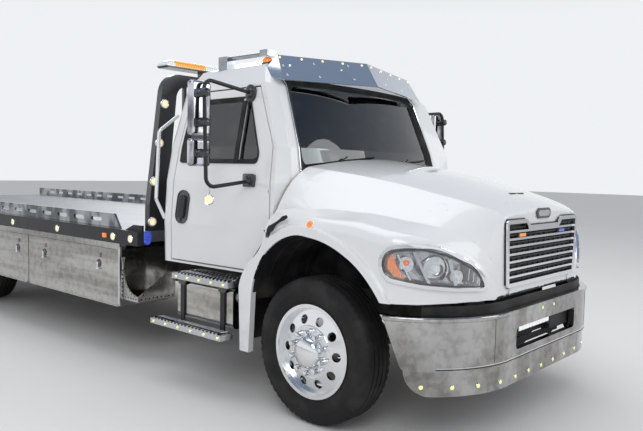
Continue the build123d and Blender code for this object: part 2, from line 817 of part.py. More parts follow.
def front_end(inset):
    """Bonnet, fenders and nose in one smooth body, drawn in by inset."""
    sections = []
    for x, side, side_z, fender, fender_z, valley, valley_z, *middle in front_rows:
        flank, flank_z, edge, edge_z, crown = middle
        turn_y, turn_z = shoulder(side, side_z, fender, fender_z)
        sections.append(outline(
            "x", x, (-side, hood_low - 60), (-side, side_z), ((-turn_y, turn_z), (-fender, fender_z)),
            (-valley, valley_z), ((-flank, flank_z), (-edge, edge_z)), ((0, crown), (edge, edge_z)),
            ((flank, flank_z), (valley, valley_z)), (fender, fender_z), ((turn_y, turn_z), (side, side_z)),
            (side, hood_low - 60)))
    body = scale(loft(sections, ruled=True), by=(1, 1 - inset / fender_y, 1))
    return Pos(-inset, 0, -inset) * body


def wheel_arch(grow):
    """Side view of the front wheel's arch, as a solid across the truck, its radius grown."""
    return slab("y", -1300, 1300, (-505 - grow, 700), (-505 - grow, 800),
                ((-370 - grow * 0.7, 1055 + grow * 0.7), (-80, 1187 + grow)),
                ((270 + grow * 0.7, 1108 + grow * 0.7), (555 + grow, hood_low)), (555 + grow, 700))


def grille_window(inset):
    """Grille opening with the notch for the hood's tongue, as a solid to cut with."""
    face = outline("x", 880, (-505, 915), (505, 915), (535, 1325), (262, 1325), (215, 1284), (-215, 1284),
                   (-262, 1325), (-535, 1325))
    face = fillet(face.vertices(), 30)
    return extrude(offset(face, amount=-inset) if inset else face, amount=220, dir=(1, 0, 0))


def lamp_prism(grow):
    """Outline of the right headlight, grown all round, drawn through the fender along its facing."""
    edges = [
        ThreePointArc((-200, 998), (-258, 1082), (-180, 1176)),
        ThreePointArc((-180, 1176), (20, 1180), (235, 1098)),
        ThreePointArc((235, 1098), (325, 1035), (366, 962)),
        ThreePointArc((366, 962), (368, 940), (350, 930)),
        ThreePointArc((350, 930), (80, 948), (-200, 998)),
    ]
    face = Face(Wire(edges))
    if grow:
        face = offset(face, amount=grow)
    return extrude(lamp_plane * face, amount=300, both=True)


lamp_plane = Plane(origin=(720, -1000, 0), x_dir=(0.75, 0.661, 0), z_dir=(0.661, -0.75, 0))


def hood():
    """Hollow hood with its fenders, arches, grille opening and hinge arms."""
    shape = front_end(0) - front_end(hood_skin)
    shape = shape & box(-386, 1100, -1300, 1300, hood_low, 1800)
    shape -= wheel_arch(0) & (box(-700, 700, 560, 1300, 300, 1300) + box(-700, 700, -1300, -560, 300, 1300))
    shape -= cab_body(-14)
    shape -= grille_window(0)
    shape -= lamp_prism(seat_gap - lamp_wall) - front_end(60)
    shape -= flip(lamp_prism(seat_gap - lamp_wall) - front_end(60))
    lip = (front_end(-lip_high) - front_end(4)) & (wheel_arch(lip_wide) - wheel_arch(0))
    sides = box(-386, 700, -1300, -1000, hood_low, 1300) + box(-386, 700, 1000, 1300, hood_low, 1300)
    shape += lip & sides
    leg = slab("y", leg_inner_y, fender_y, (-614, 364), (-530, 364), (-512, 720),
               ((-385, 1055), (-330, 1110)), (-400, 1200), (-400, 1150), ((-450, 1052), (-530, 985)),
               ((-592, 905), (-634, 800)))
    leg -= slab("y", leg_inner_y - 1, fender_y - 14, (-600, 300), (-534, 300), (-526, 720),
                ((-458, 940), (-434, 1030)), ((-500, 985), (-560, 915)), ((-600, 850), (-620, 790)))
    for side in (-1, 1):
        shape += leg if side > 0 else flip(leg)
        y = arm_y
        arm = slab("y", y, y + arm_thick, (hood_pivot_x - 30, hood_pivot_z - 20), (480, 850), (520, 930),
                   (880, 930), (975, 900), (975, 868), (570, 868), (hood_pivot_x + 24, hood_pivot_z + 10))
        arm += rod("y", y, y + arm_thick, hood_pivot_x, hood_pivot_z, 30)
        arm -= rod("y", y - 1, y + arm_thick + 1, hood_pivot_x, hood_pivot_z, hood_pin + pin_gap)
        shape += arm if side > 0 else flip(arm)
    return shape


def grille():
    """Chrome surround with seven level bars."""
    frame = (grille_window(seat_gap) - grille_window(grille_rim)) & box(945, 985, -600, 600, 800, 1400)
    for index in range(7):
        z = 975 + index * 46
        frame += box(955, 975, -600, 600, z - 7, z + 7) & grille_window(grille_rim - 1)
    return frame


def headlights():
    """Lenses, bowls and chrome bezels of both headlights, as three sets of solids."""
    lens = (front_end(-9) - front_end(-4)) & lamp_prism(-lamp_rim - seat_gap)
    bowl = (front_end(0) - front_end(lamp_deep)) & lamp_prism(-lamp_wall)
    bowl -= lamp_prism(-2 * lamp_wall) - front_end(lamp_deep - lamp_wall)
    bezel = (front_end(-13) - front_end(-seat_gap)) & (lamp_prism(lamp_rim) - lamp_prism(-lamp_rim))
    return both(lens), both(bowl), both(bezel)


# Deck


def tilt_frame():
    """Two tilt rails with cross members, pads, hinge bosses, lugs and the slide cylinder's barrel."""
    frame = box(hinge_x, tilt_front, sill_y - sill_width / 2, sill_y + sill_width / 2, tilt_low, tilt_high)
    sill_half = sill_width / 2
    frame += rod("y", sill_y - sill_half, sill_y + sill_half, hinge_x, hinge_z, (tilt_high - tilt_low) / 2)
    frame -= rod("y", 0, rail_out, hinge_x, hinge_z, 20 + pin_gap)
    for x in (tilt_front - 150, *even(tilt_front - 1350, hinge_x + 960, 3), hinge_x + 160):
        frame += box(x - 150, x + 150, sill_y - 30, sill_y + 30, tilt_high, tilt_high + pad)
    frame = frame + flip(frame)
    for x in (*even(tilt_front - 50, rod_eye[0] + 100, 4), hinge_x + 610):
        frame += box(x - 25, x + 25, -sill_y, sill_y, tilt_low + 10, tilt_high)
    for side in (-1, 1):
        for y in (cylinder_y - 56, cylinder_y + 40):
            eye_x, eye_z = rod_eye
            lug = slab("y", y, y + 16, (eye_x - 30, eye_z - 30), (eye_x + 90, eye_z - 19),
                       (eye_x + 90, tilt_high), (eye_x - 30, tilt_high))
            frame += lug if side > 0 else flip(lug)
        pin = rod("y", cylinder_y - 50, cylinder_y + 50, *rod_eye, lug_pin)
        frame += pin if side > 0 else flip(pin)
    return frame


slide_z = tilt_high + 30 + seat_gap
slide_mouth = -wheelbase + 160


def slide_barrel():
    barrel = rod("x", slide_mouth, tilt_front - 50, 0, slide_z, 30)
    barrel -= rod("x", slide_mouth - 10, tilt_front - 110, 0, slide_z, 20)
    barrel += rod("x", slide_mouth, slide_mouth + 60, 0, slide_z, 30)
    barrel -= rod("x", slide_mouth - 10, slide_mouth + 100, 0, slide_z, 18 + pin_gap)
    return barrel


def slide_rod():
    bar = rod("x", slide_mouth - 100, tilt_front - 150, 0, slide_z, 18)
    bar += box(slide_mouth - 140, slide_mouth - 80, -30, 30, slide_z - 22, cross_low)
    return bar


def deck_floor_node():
    """Floor plate on cross channels and two long sills."""
    half = side_rail_y - side_rail_width
    deck = box(deck_rear, deck_front, -half, half, deck_z - deck_floor, deck_z)
    count = 16
    pitch = (deck_front - deck_rear - 100) / count
    for index in range(count + 1):
        x = deck_rear + 50 + index * pitch
        deck += box(x - 25, x + 25, -half, half, cross_low, deck_z - deck_floor)
    for side in (-1, 1):
        deck += box(deck_rear, deck_front, side * (sill_y - 35), side * (sill_y + 35), sill_low, cross_low)
    deck += box(slide_mouth - 140, slide_mouth - 80, -200, 200, cross_low, deck_z - deck_floor)
    return deck


def deck_sides():
    """Black side rail with the polished board above it."""
    rail = box(deck_rear, deck_front, side_rail_y - side_rail_width, side_rail_y, side_rail_low, deck_z)
    rail += slab("y", 1200, 1220, (-1960, deck_z), (deck_front, deck_z), (deck_front, 1135), (-1850, 1135))
    board = slab("y", 1190, 1210, (deck_rear, deck_z), (-2060, deck_z), (-2148, sideboard_top),
                 (deck_rear, sideboard_top))
    for index in range(20):
        x = -2420 - index * 290
        board -= slab("y", 1180, 1220, (x - 60, 1135), (x + 60, 1135), ((x + 85, 1150), (x + 60, 1165)),
                      (x - 60, 1165), ((x - 85, 1150), (x - 60, 1135)))
    return both(rail + board)


def headboard():
    """Hoop over the deck's front end, with a lower panel and upright bars."""
    outer = slab("x", deck_front - headboard_thick, deck_front, (-1150, deck_z), (-1150, 1300),
                 (-1040, 2180), ((-990, 2290), (-880, 2340)), (880, 2340),
                 ((990, 2290), (1040, 2180)), (1150, 1300), (1150, deck_z))
    inner = slab("x", deck_front - headboard_thick - 1, deck_front + 1, (-960, 1560), (-900, 2150),
                 ((-870, 2220), (-800, 2250)), (800, 2250), ((870, 2220), (900, 2150)), (960, 1560))
    board = outer - inner
    for index in range(9):
        y = -800 + index * 200
        board += box(deck_front - 45, deck_front - 15, y - 12, y + 12, 1550, 2255)
    return board


def lightbar():
    bar = slab("y", -1010, 1010, (-1850, 2385), (-1710, 2385), ((-1722, 2432), (-1780, 2450)),
               ((-1838, 2432), (-1850, 2385)))
    bar &= slab("x", -1900, -1650, (-1010, 2400), ((-985, 2380), (-930, 2370)), (930, 2370),
                ((985, 2380), (1010, 2400)), ((965, 2440), (860, 2460)), (-860, 2460),
                ((-965, 2440), (-1010, 2400)))
    for side in (-1, 1):
        bar += box(-1800, -1760, side * 560, side * 640, 2340 + seat_gap, 2400)
    return bar


winch_x = -2000
winch_z = deck_z + 130


def winch():
    body = box(-2140, -1860, -300, 300, deck_z, deck_z + 16)
    for side in (-1, 1):
        body += box(-2110, -1890, side * 250, side * 274, deck_z + 16, deck_z + 240)
    body += rod("y", 274, 420, winch_x, winch_z, 80)
    body += rod("y", -250, 250, winch_x, winch_z, 25)
    return body


def winch_drum():
    drum = rod("y", -244, 244, winch_x, winch_z, 70)
    for low in (-244, 232):
        drum += rod("y", low, low + 12, winch_x, winch_z, 105)
    return drum - rod("y", -250, 250, winch_x, winch_z, 25 + pin_gap)


cylinder_rise = rod_eye[1] - barrel_foot[1]
cylinder_run = rod_eye[0] - barrel_foot[0]
cylinder_length = hypot(cylinder_run, cylinder_rise)
cylinder_angle = atan2(cylinder_rise, cylinder_run)


def raised_eye(angle):
    """Place of the rod's eye pin when the tilt frame is up by the angle in radians."""
    x, z = rod_eye[0] - hinge_x, rod_eye[1] - hinge_z
    return hinge_x + x * cos(angle) - z * sin(angle), hinge_z + x * sin(angle) + z * cos(angle)


def cylinder_at(angle):
    """Length and slope of the cylinder when the tilt frame is up by the angle in radians."""
    x, z = raised_eye(angle)
    return hypot(x - barrel_foot[0], z - barrel_foot[1]), atan2(z - barrel_foot[1], x - barrel_foot[0])


def along_cylinder(shape):
    """Turn a shape made along X at the origin to lie along the left tilt cylinder."""
    return Pos(barrel_foot[0], cylinder_y, barrel_foot[1]) * Rot(0, -degrees(cylinder_angle), 0) * shape


def tilt_barrel():
    length = cylinder_length - 110
    barrel = rod("x", 40, length, 0, 0, 38) - rod("x", 60, length + 1, 0, 0, 18 + pin_gap)
    eye = rod("y", -40, 40, 0, 0, 34)
    barrel = barrel + eye + box(0, 60, -30, 30, -20, 20)
    barrel -= rod("y", -50, 50, 0, 0, lug_pin + pin_gap)
    return both(along_cylinder(barrel))


def tilt_rod():
    end = cylinder_length
    bar = rod("x", 320, end - 30, 0, 0, 18) + rod("y", -36, 36, end, 0, 36)
    bar -= rod("y", -50, 50, end, 0, lug_pin + eye_play)
    return both(along_cylinder(bar))


def main():
    os.makedirs("parts", exist_ok=True)
    tyre_left, rim_left = front_wheel()
    duals_left, rims_left = rear_wheels()
    tanks, steps = tank_and_steps()
    floor, roof, back, sides, glass = cab_parts()
    door_right, door_glass_right = cab_door()
    mirror_right = mirror_unit()
    knuckle_left = knuckle()
    save("frame_rails", frame_rails())
    save("front_axle", front_axle())
    save("rear_axle", rear_axle())
    save("leaf_springs", leaf_springs())
    save("driveline", driveline())
    save("radiator", radiator())
    save("front_bumper", front_bumper())
    save("fuel_tanks", tanks)
    save("cab_steps", steps)
    save("toolboxes", toolboxes())
    save("mud_flaps", mud_flaps())
    save("cab_floor", floor)
    save("cab_roof", roof)
    save("cab_back", back)
    save("cab_sides", sides)
    save("cab_glass", glass)
    save("seats", seats())
    save("dashboard", dashboard())
    save("steering_wheel", steering_wheel())
    save("sun_visor", sun_visor())
    save("air_horn", air_horn())
    save("grab_handles", grab_handles())
    save("hood", hood())
    save("grille", grille())
    for node, shape in zip(("headlights", "headlight_bowls", "headlight_bezels"), headlights()):
        save(node, shape)
    save("tie_rod", tie_rod())
    save("tilt_frame", tilt_frame())
    save("slide_barrel", slide_barrel())
    save("slide_rod", slide_rod())
    save("deck_floor", deck_floor_node())
    save("deck_sides", deck_sides())
    save("headboard", headboard())
    save("lightbar", lightbar())
    save("winch", winch())
    save("winch_drum", winch_drum())
    save("tilt_barrels", tilt_barrel())
    save("tilt_rods", tilt_rod())
    for side, turn in (("left", lambda shape: shape), ("right", flip)):
        save(f"knuckle_{side}", turn(knuckle_left))
        save(f"tyre_front_{side}", turn(tyre_left))
        save(f"rim_front_{side}", turn(rim_left))
        save(f"tyres_rear_{side}", turn(duals_left))
        save(f"rims_rear_{side}", turn(rims_left))
        save(f"toolbox_door_front_{side}", turn(toolbox_door(box_split, box_front)))
        save(f"toolbox_door_rear_{side}", turn(toolbox_door(box_rear, box_split)))
    for side, turn in (("right", lambda shape: shape), ("left", flip)):
        save(f"door_{side}", turn(door_right))
        save(f"door_glass_{side}", turn(door_glass_right))
        save(f"mirror_{side}", turn(mirror_right))


if __name__ == "__main__":
    main()
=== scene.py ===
# %% [markdown]
# # A flatbed tow truck, dressed and lit
# The truck's solids come ready made from CAD. This lesson gives each of them its finish, adds the
# small things that a solid model leaves out, such as tyre tread, lamps, seals and wipers, and sets up
# a plain studio round it. The first cell loads the solids, which stay where they are.

# %% Load the solids
import json
import math
import bmesh
import bpy
from mathutils import Matrix, Vector
from mathutils.bvhtree import BVHTree


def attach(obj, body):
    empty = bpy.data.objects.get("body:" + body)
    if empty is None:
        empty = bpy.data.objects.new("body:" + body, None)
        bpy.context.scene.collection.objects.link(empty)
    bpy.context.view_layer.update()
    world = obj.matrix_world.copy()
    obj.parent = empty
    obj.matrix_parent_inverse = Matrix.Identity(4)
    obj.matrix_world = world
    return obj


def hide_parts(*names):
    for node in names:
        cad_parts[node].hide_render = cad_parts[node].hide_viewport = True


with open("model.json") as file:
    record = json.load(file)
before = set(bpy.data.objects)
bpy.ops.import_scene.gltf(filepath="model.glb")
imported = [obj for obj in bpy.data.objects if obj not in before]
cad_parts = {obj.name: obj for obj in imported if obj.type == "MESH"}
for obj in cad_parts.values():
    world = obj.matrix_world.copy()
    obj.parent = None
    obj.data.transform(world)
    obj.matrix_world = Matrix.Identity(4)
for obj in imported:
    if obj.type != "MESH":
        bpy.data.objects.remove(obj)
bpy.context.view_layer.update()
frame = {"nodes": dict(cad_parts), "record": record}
nodes = frame["nodes"]

# %% [markdown]
# ## The camera
# The photographer stood near the truck's right front corner and looked slightly down along it. A place,
# three angles and a focal length give that view. The front axle lies ahead of the middle of the truck
# by a fixed length, so places that are easier to think of from the axle are moved by that length.

# %% Camera
axle_x = 3.6575
view_from = Vector((axle_x + 2.796, -4.245, 1.593))
turn, tip, roll = (math.radians(angle) for angle in (41.405, -3.772, 1.234))
ahead = Vector((-math.sin(turn) * math.cos(tip), math.cos(turn) * math.cos(tip), math.sin(tip)))
level = Vector((math.cos(turn), math.sin(turn), 0))
upright = level.cross(ahead)
across = level * math.cos(roll) + upright * math.sin(roll)
over = upright * math.cos(roll) - level * math.sin(roll)
camera = bpy.data.objects.new("camera", bpy.data.cameras.new("camera"))
camera.data.lens = 37.99
camera.data.sensor_width = 36
camera.matrix_world = Matrix.Translation(view_from) @ Matrix((across, over, -ahead)).transposed().to_4x4()
bpy.context.scene.collection.objects.link(camera)
bpy.context.scene.camera = camera
print("camera at", view_from, "looking along", ahead)

# %% [markdown]
# ## Shader maths as plain expressions
# A material is a small graph. Written out node by node it is hard to read, so one class wraps an
# output socket and turns + - * / and > into Math nodes, a second holds any graph while it is made, and
# a third adds what materials need. Numbers that don't vary go straight onto the shader.

# %% Wires and finishes
def operator(operation, swapped=False):
    """A method that puts a Math node on two wires or numbers."""
    def joined(self, other):
        first, second = (other, self) if swapped else (self, other)
        return self.graph.add("Math", {"operation": operation}, {0: first, 1: second})
    return joined


class Wire:
    """An output socket that can be used in sums."""

    def __init__(self, graph, socket):
        self.graph, self.socket = graph, socket

    __add__ = __radd__ = operator("ADD")
    __mul__ = __rmul__ = operator("MULTIPLY")
    __sub__, __rsub__ = operator("SUBTRACT"), operator("SUBTRACT", swapped=True)
    __truediv__, __rtruediv__ = operator("DIVIDE"), operator("DIVIDE", swapped=True)
    __gt__ = operator("GREATER_THAN")


class Graph:
    """A node tree in the making: add() adds any node and gives its output as a wire."""

    def __init__(self, tree):
        self.tree = tree

    def add(self, kind, settings=None, inputs=None, out=0):
        node = self.tree.nodes.new("ShaderNode" + kind)
        for name, value in (settings or {}).items():
            setattr(node, name, value)
        for name, value in (inputs or {}).items():
            self.plug(node.inputs[name], value)
        return Wire(self, node.outputs[out])

    def plug(self, socket, value):
        if isinstance(value, Wire):
            self.tree.links.new(value.socket, socket)
        else:
            socket.default_value = value


class Finish(Graph):
    """A material in the making: shade() sets the shader's sockets."""

    def __init__(self, name, **sockets):
        self.material = bpy.data.materials.new(name)
        self.material.use_nodes = True
        super().__init__(self.material.node_tree)
        self.shader = self.tree.nodes["Principled BSDF"]
        self.shade(**sockets)

    def shade(self, **sockets):
        for name, value in sockets.items():
            self.plug(self.shader.inputs[name.replace("_", " ")], value)

    def here(self):
        """The point being shaded, in metres."""
        return self.add("TexCoord", out="Object")

    def stretched(self, x, y, z):
        """The point with each axis scaled, which draws a texture out along the small ones."""
        return self.add("VectorMath", {"operation": "MULTIPLY"}, {0: self.here(), 1: (x, y, z)})

    def axis(self, name):
        """One coordinate of the point: X, Y or Z."""
        return self.add("SeparateXYZ", inputs={0: self.here()}, out=name)

    def clouds(self, scale, detail=4, place=None):
        """Soft random patches from 0 to 1."""
        return self.add("TexNoise", inputs={"Vector": place or self.here(), "Scale": scale, "Detail": detail})

    def band(self, value, low, high):
        """0 below low, 1 above high, and smooth between."""
        return self.add("MapRange", {"interpolation_type": "SMOOTHSTEP"},
                        {"Value": value, "From Min": low, "From Max": high})

    def blend(self, share, first, second):
        """From the first colour to the second as share goes from 0 to 1."""
        first, second = (value if isinstance(value, Wire) else (*value, 1) for value in (first, second))
        return self.add("Mix", {"data_type": "RGBA"}, {0: share, 6: first, 7: second}, out=2)

    def relief(self, value, depth):
        """Bumps the surface by a value, depth metres at most."""
        self.shade(Normal=self.add("Bump", inputs={"Height": value, "Distance": depth, "Strength": 1}))


print("finish kit ready")

# %% [markdown]
# ## Paint
# Truck paint is colour under a clear coat. The coat gives sharp reflections, and its faint ripple,
# which painters call orange peel, is a very shallow bump. Road dust gathers low down, so a soft mask
# from the height above the ground, broken up by noise, dulls the paint there.

# %% Paint finishes
road_dust = (0.36, 0.33, 0.29)


def painted(name, colour, roughness, coat, dust_top=0.9, dust=0.35, peel=0.00004):
    paint = Finish(name, Coat_Roughness=0.04, IOR=1.5)
    patches = paint.clouds(2.3)
    low = 1 - paint.band(paint.axis("Z"), 0.25, dust_top)
    share = low * paint.band(paint.clouds(9, 6), 0.35, 0.75) * dust
    tone = paint.blend(patches * 0.5, colour, [value * 0.93 for value in colour])
    paint.shade(Base_Color=paint.blend(share, tone, road_dust), Roughness=roughness + share * 0.5,
                Coat_Weight=coat - share * coat)
    paint.relief(paint.clouds(260, 1), peel)
    return paint.material


white_paint = painted("white_paint", (0.80, 0.81, 0.82), 0.32, 1)
black_paint = painted("black_paint", (0.012, 0.012, 0.014), 0.3, 1)
frame_black = painted("frame_black", (0.02, 0.02, 0.02), 0.5, 0.2, dust_top=1.1, dust=0.5)
cast_iron = painted("cast_iron", (0.06, 0.055, 0.05), 0.7, 0, dust_top=1, dust=0.6, peel=0.0004)
print("paints:", white_paint.name, black_paint.name, frame_black.name, cast_iron.name)

# %% [markdown]
# ## Bright metal
# Chrome, polished stainless and polished aluminium differ in tint and in how much fine scratching
# spreads the reflection. Noise drawn out along the sheet gives the grain of a polishing mop, and
# fingerprints and water marks are larger patches where the gloss drops.

# %% Metal finishes
def polished(name, colour, roughness, grain, marks, stretch=(2, 60, 60), waves=0.00002):
    metal = Finish(name, Metallic=1)
    fine = metal.clouds(1, 3, metal.stretched(*stretch))
    smudge = metal.band(metal.clouds(5, 7), 0.45, 0.8)
    low = 1 - metal.band(metal.axis("Z"), 0.2, 0.75)
    film = smudge * marks + low * marks
    metal.shade(Base_Color=metal.blend(film, colour, (0.52, 0.5, 0.47)),
                Roughness=roughness + fine * grain + film * 0.3)
    metal.relief(fine * 0.2 + metal.clouds(3, 1), waves)
    return metal.material


def painted_reflection_metal(name, bright, dark, roughness, waves, stretch=(1, 1, 0.55)):
    """Bright plate with painted reflections of rough ground: soft dark patches, or streaks where it is
    stretched, darker towards the bottom.
    """
    metal = Finish(name, Metallic=1)
    patches = metal.band(metal.clouds(4, 6, metal.stretched(*stretch)), 0.38, 0.62)
    fine = metal.band(metal.clouds(19, 5), 0.42, 0.66)
    low = 1 - metal.band(metal.axis("Z"), 0.45, 0.85)
    metal.shade(Base_Color=metal.blend(patches * 0.55 + fine * 0.25 + low * 0.15, bright, dark),
                Roughness=roughness + fine * 0.08)
    metal.relief(metal.clouds(3, 1), waves)
    return metal.material


chrome = polished("chrome", (0.84, 0.85, 0.87), 0.03, 0.02, 0.08)
# box_steel and bumper_chrome carry painted reflections: dark patches and streaks over bright metal.
box_steel = painted_reflection_metal("box_steel", (0.62, 0.61, 0.585), (0.27, 0.255, 0.23), 0.14, 0.0012, (0.16, 0.5, 2.6))
bumper_chrome = painted_reflection_metal("bumper_chrome", (0.52, 0.52, 0.51), (0.19, 0.18, 0.165), 0.05, 0.004)
polished_steel = polished("polished_steel", (0.72, 0.73, 0.75), 0.12, 0.1, 0.25, waves=0.0012)
polished_rim = polished("polished_rim", (0.83, 0.84, 0.86), 0.1, 0.08, 0.15, stretch=(30, 30, 30))
rod_steel = polished("rod_steel", (0.6, 0.61, 0.63), 0.15, 0.1, 0.1)
deck_steel = polished("deck_steel", (0.3, 0.31, 0.32), 0.28, 0.22, 0.5, stretch=(1.2, 40, 40), waves=0.0008)
print("metals:", chrome.name, box_steel.name, bumper_chrome.name, polished_steel.name, deck_steel.name)

# %% [markdown]
# ## Rubber, plastic and cloth
# Tyre rubber is dark grey, never black, and brown dust lies in its low places. Dashboard plastic has
# a leather-like grain, and the seats are a tight weave.

# %% Dull finishes
def dull(name, colour, roughness, grain_scale, grain_depth, dust=0.2, dust_colour=road_dust):
    stuff = Finish(name, Specular_IOR_Level=0.25)
    patches = stuff.band(stuff.clouds(6, 8), 0.4, 0.75) * dust
    stuff.shade(Base_Color=stuff.blend(patches, colour, dust_colour), Roughness=roughness + patches * 0.3)
    stuff.relief(stuff.clouds(grain_scale, 3), grain_depth)
    return stuff.material


tyre_rubber = dull("tyre_rubber", (0.011, 0.011, 0.011), 0.6, 190, 0.0003, dust=0.06)
seal_rubber = dull("seal_rubber", (0.012, 0.012, 0.012), 0.5, 300, 0.0001, dust=0.08)
dark_plastic = dull("dark_plastic", (0.035, 0.036, 0.038), 0.55, 420, 0.0003, dust=0.05)


def woven(name, colour):
    cloth = Finish(name, Sheen_Weight=0.3, Roughness=0.85)
    rows = [cloth.add("TexWave", {"bands_direction": axis}, {"Vector": cloth.here(), "Scale": 160})
            for axis in ("Y", "Z")]
    weave = rows[0] * rows[1]
    cloth.shade(Base_Color=cloth.blend(weave, colour, [value * 1.9 for value in colour]))
    cloth.relief(weave, 0.0006)
    return cloth.material


seat_fabric = woven("seat_fabric", (0.05, 0.05, 0.055))
print("dull finishes:", tyre_rubber.name, seal_rubber.name, dark_plastic.name, seat_fabric.name)

# %% [markdown]
# ## Glass and lamp lenses
# Window glass this thin is simplest as a glossy film that lets light straight through: a Mix Shader
# between a transparent and a glossy shader, with Fresnel as its factor. Light then reaches the seats
# without a slow refraction. Lens plastics are the same film with more colour in it.

# %% Clear finishes
def clear(name, tint, gloss=0.02, haze=0.06):
    film = Finish(name)
    edge = film.add("Fresnel", inputs={"IOR": 1.5})
    marks = film.band(film.clouds(7, 6), 0.5, 0.85)
    share = edge + marks * 0.04 + haze
    through = film.add("BsdfTransparent", inputs={"Color": (*tint, 1)})
    shine = film.add("BsdfGlossy", inputs={"Color": (1, 1, 1, 1), "Roughness": gloss})
    mixed = film.add("MixShader", inputs={0: share, 1: through, 2: shine})
    film.plug(film.tree.nodes["Material Output"].inputs["Surface"], mixed)
    return film.material


window_glass = clear("window_glass", (0.5, 0.56, 0.56))
clear_lens = clear("clear_lens", (0.93, 0.94, 0.95))
amber_lens = Finish("amber_lens", Roughness=0.12, Emission_Strength=0.35, Coat_Weight=1)
ribs = amber_lens.add("TexWave", {"bands_direction": "X"}, {"Vector": amber_lens.here(), "Scale": 60})
amber_lens.shade(Base_Color=amber_lens.blend(ribs, (0.75, 0.25, 0.02), (0.95, 0.42, 0.05)),
                 Emission_Color=amber_lens.blend(ribs, (0.6, 0.18, 0.01), (0.9, 0.35, 0.03)))
amber_lens.relief(ribs, 0.0005)
amber = amber_lens.material
print("clear finishes:", window_glass.name, clear_lens.name, amber.name)

# %% [markdown]
# ## Giving each solid its finish
# The imported record says which kind of surface each solid has. A table from those kinds to the
# finishes above dresses all of them in one loop. Read the other way round, it tells the kind of each
# piece that is added later. The bumper, tanks and toolboxes get painted reflections of rough ground.

# %% Dress the solids
by_kind = {
    "white_paint": white_paint, "black_paint": black_paint, "frame_black": frame_black, "chrome": chrome,
    "polished_steel": polished_steel, "polished_rim": polished_rim, "tyre": tyre_rubber,
    "rubber": seal_rubber, "glass": window_glass, "lamp": clear_lens, "amber": amber,
    "deck_steel": deck_steel, "dark_plastic": dark_plastic, "seat_fabric": seat_fabric,
    "cast_iron": cast_iron, "rod_steel": rod_steel,
}
for entry in frame["record"]["subparts"]:
    mesh = nodes[entry["node"]].data
    mesh.materials.clear()
    mesh.materials.append(by_kind[entry["material_slot"]])
sides = (("left", 1), ("right", -1))
toolbox_doors = [f"toolbox_door_{part}_{side}" for part in ("front", "rear") for side, _ in sides]
nodes["front_bumper"].data.materials[0] = bumper_chrome
for name in ("toolboxes", "fuel_tanks", *toolbox_doors):
    nodes[name].data.materials[0] = box_steel
slot_of = {finish.name: kind for kind, finish in by_kind.items()}

# %% [markdown]
# ## Places and rays
# Places are counted from the front axle. A point on a solid's surface is found by sending a ray at
# it, so that trim sits on what carries it.

# %% Places and rays
trees = {}
forward, leftward, upward = Vector((1, 0, 0)), Vector((0, 1, 0)), Vector((0, 0, 1))


def at(x, y, z):
    """A point counted from the front axle, in the truck's frame."""
    return Vector((x + axle_x, y, z))


def tree_of(mesh):
    return BVHTree.FromPolygons([v.co for v in mesh.vertices], [p.vertices for p in mesh.polygons])


def touch(names, start, direction):
    """Where a ray first meets one of the named solids, and the surface's outward direction."""
    best = None
    for name in names:
        if name not in trees:
            trees[name] = tree_of(nodes[name].data)
        point, normal, _, distance = trees[name].ray_cast(Vector(start), Vector(direction).normalized())
        if point is not None and (best is None or distance < best[2]):
            best = (point, normal, distance)
    if best is None:
        raise ValueError(f"nothing of {names} lies ahead of {tuple(start)}")
    return best[0], best[1] if best[1].dot(Vector(direction)) < 0 else -best[1]


def circle(centre, side, other, radius, steps):
    """Points round a centre, in the plane of two directions."""
    angles = [2 * math.pi * index / steps for index in range(steps)]
    return [centre + (side * math.cos(a) + other * math.sin(a)) * radius for a in angles]


def rounded(centre, across, up, half_wide, half_tall, radius, steps=5):
    """Outline of a rectangle with round corners in the plane of two directions."""
    points = []
    for quarter, (sx, sy) in enumerate(((1, 1), (-1, 1), (-1, -1), (1, -1))):
        for step in range(steps):
            angle = math.pi / 2 * (quarter + step / (steps - 1))
            u = sx * (half_wide - radius) + radius * math.cos(angle)
            v = sy * (half_tall - radius) + radius * math.sin(angle)
            points.append(centre + across * u + up * v)
    return points


print("places and rays ready")

# %% [markdown]
# ## Small shapes gathered into one mesh
# Trim, lamps and fasteners are many small shapes with one finish. A form gathers them in one bmesh:
# turned shapes from rings, plates from an outline, tubes along a path and skins from rows of points.

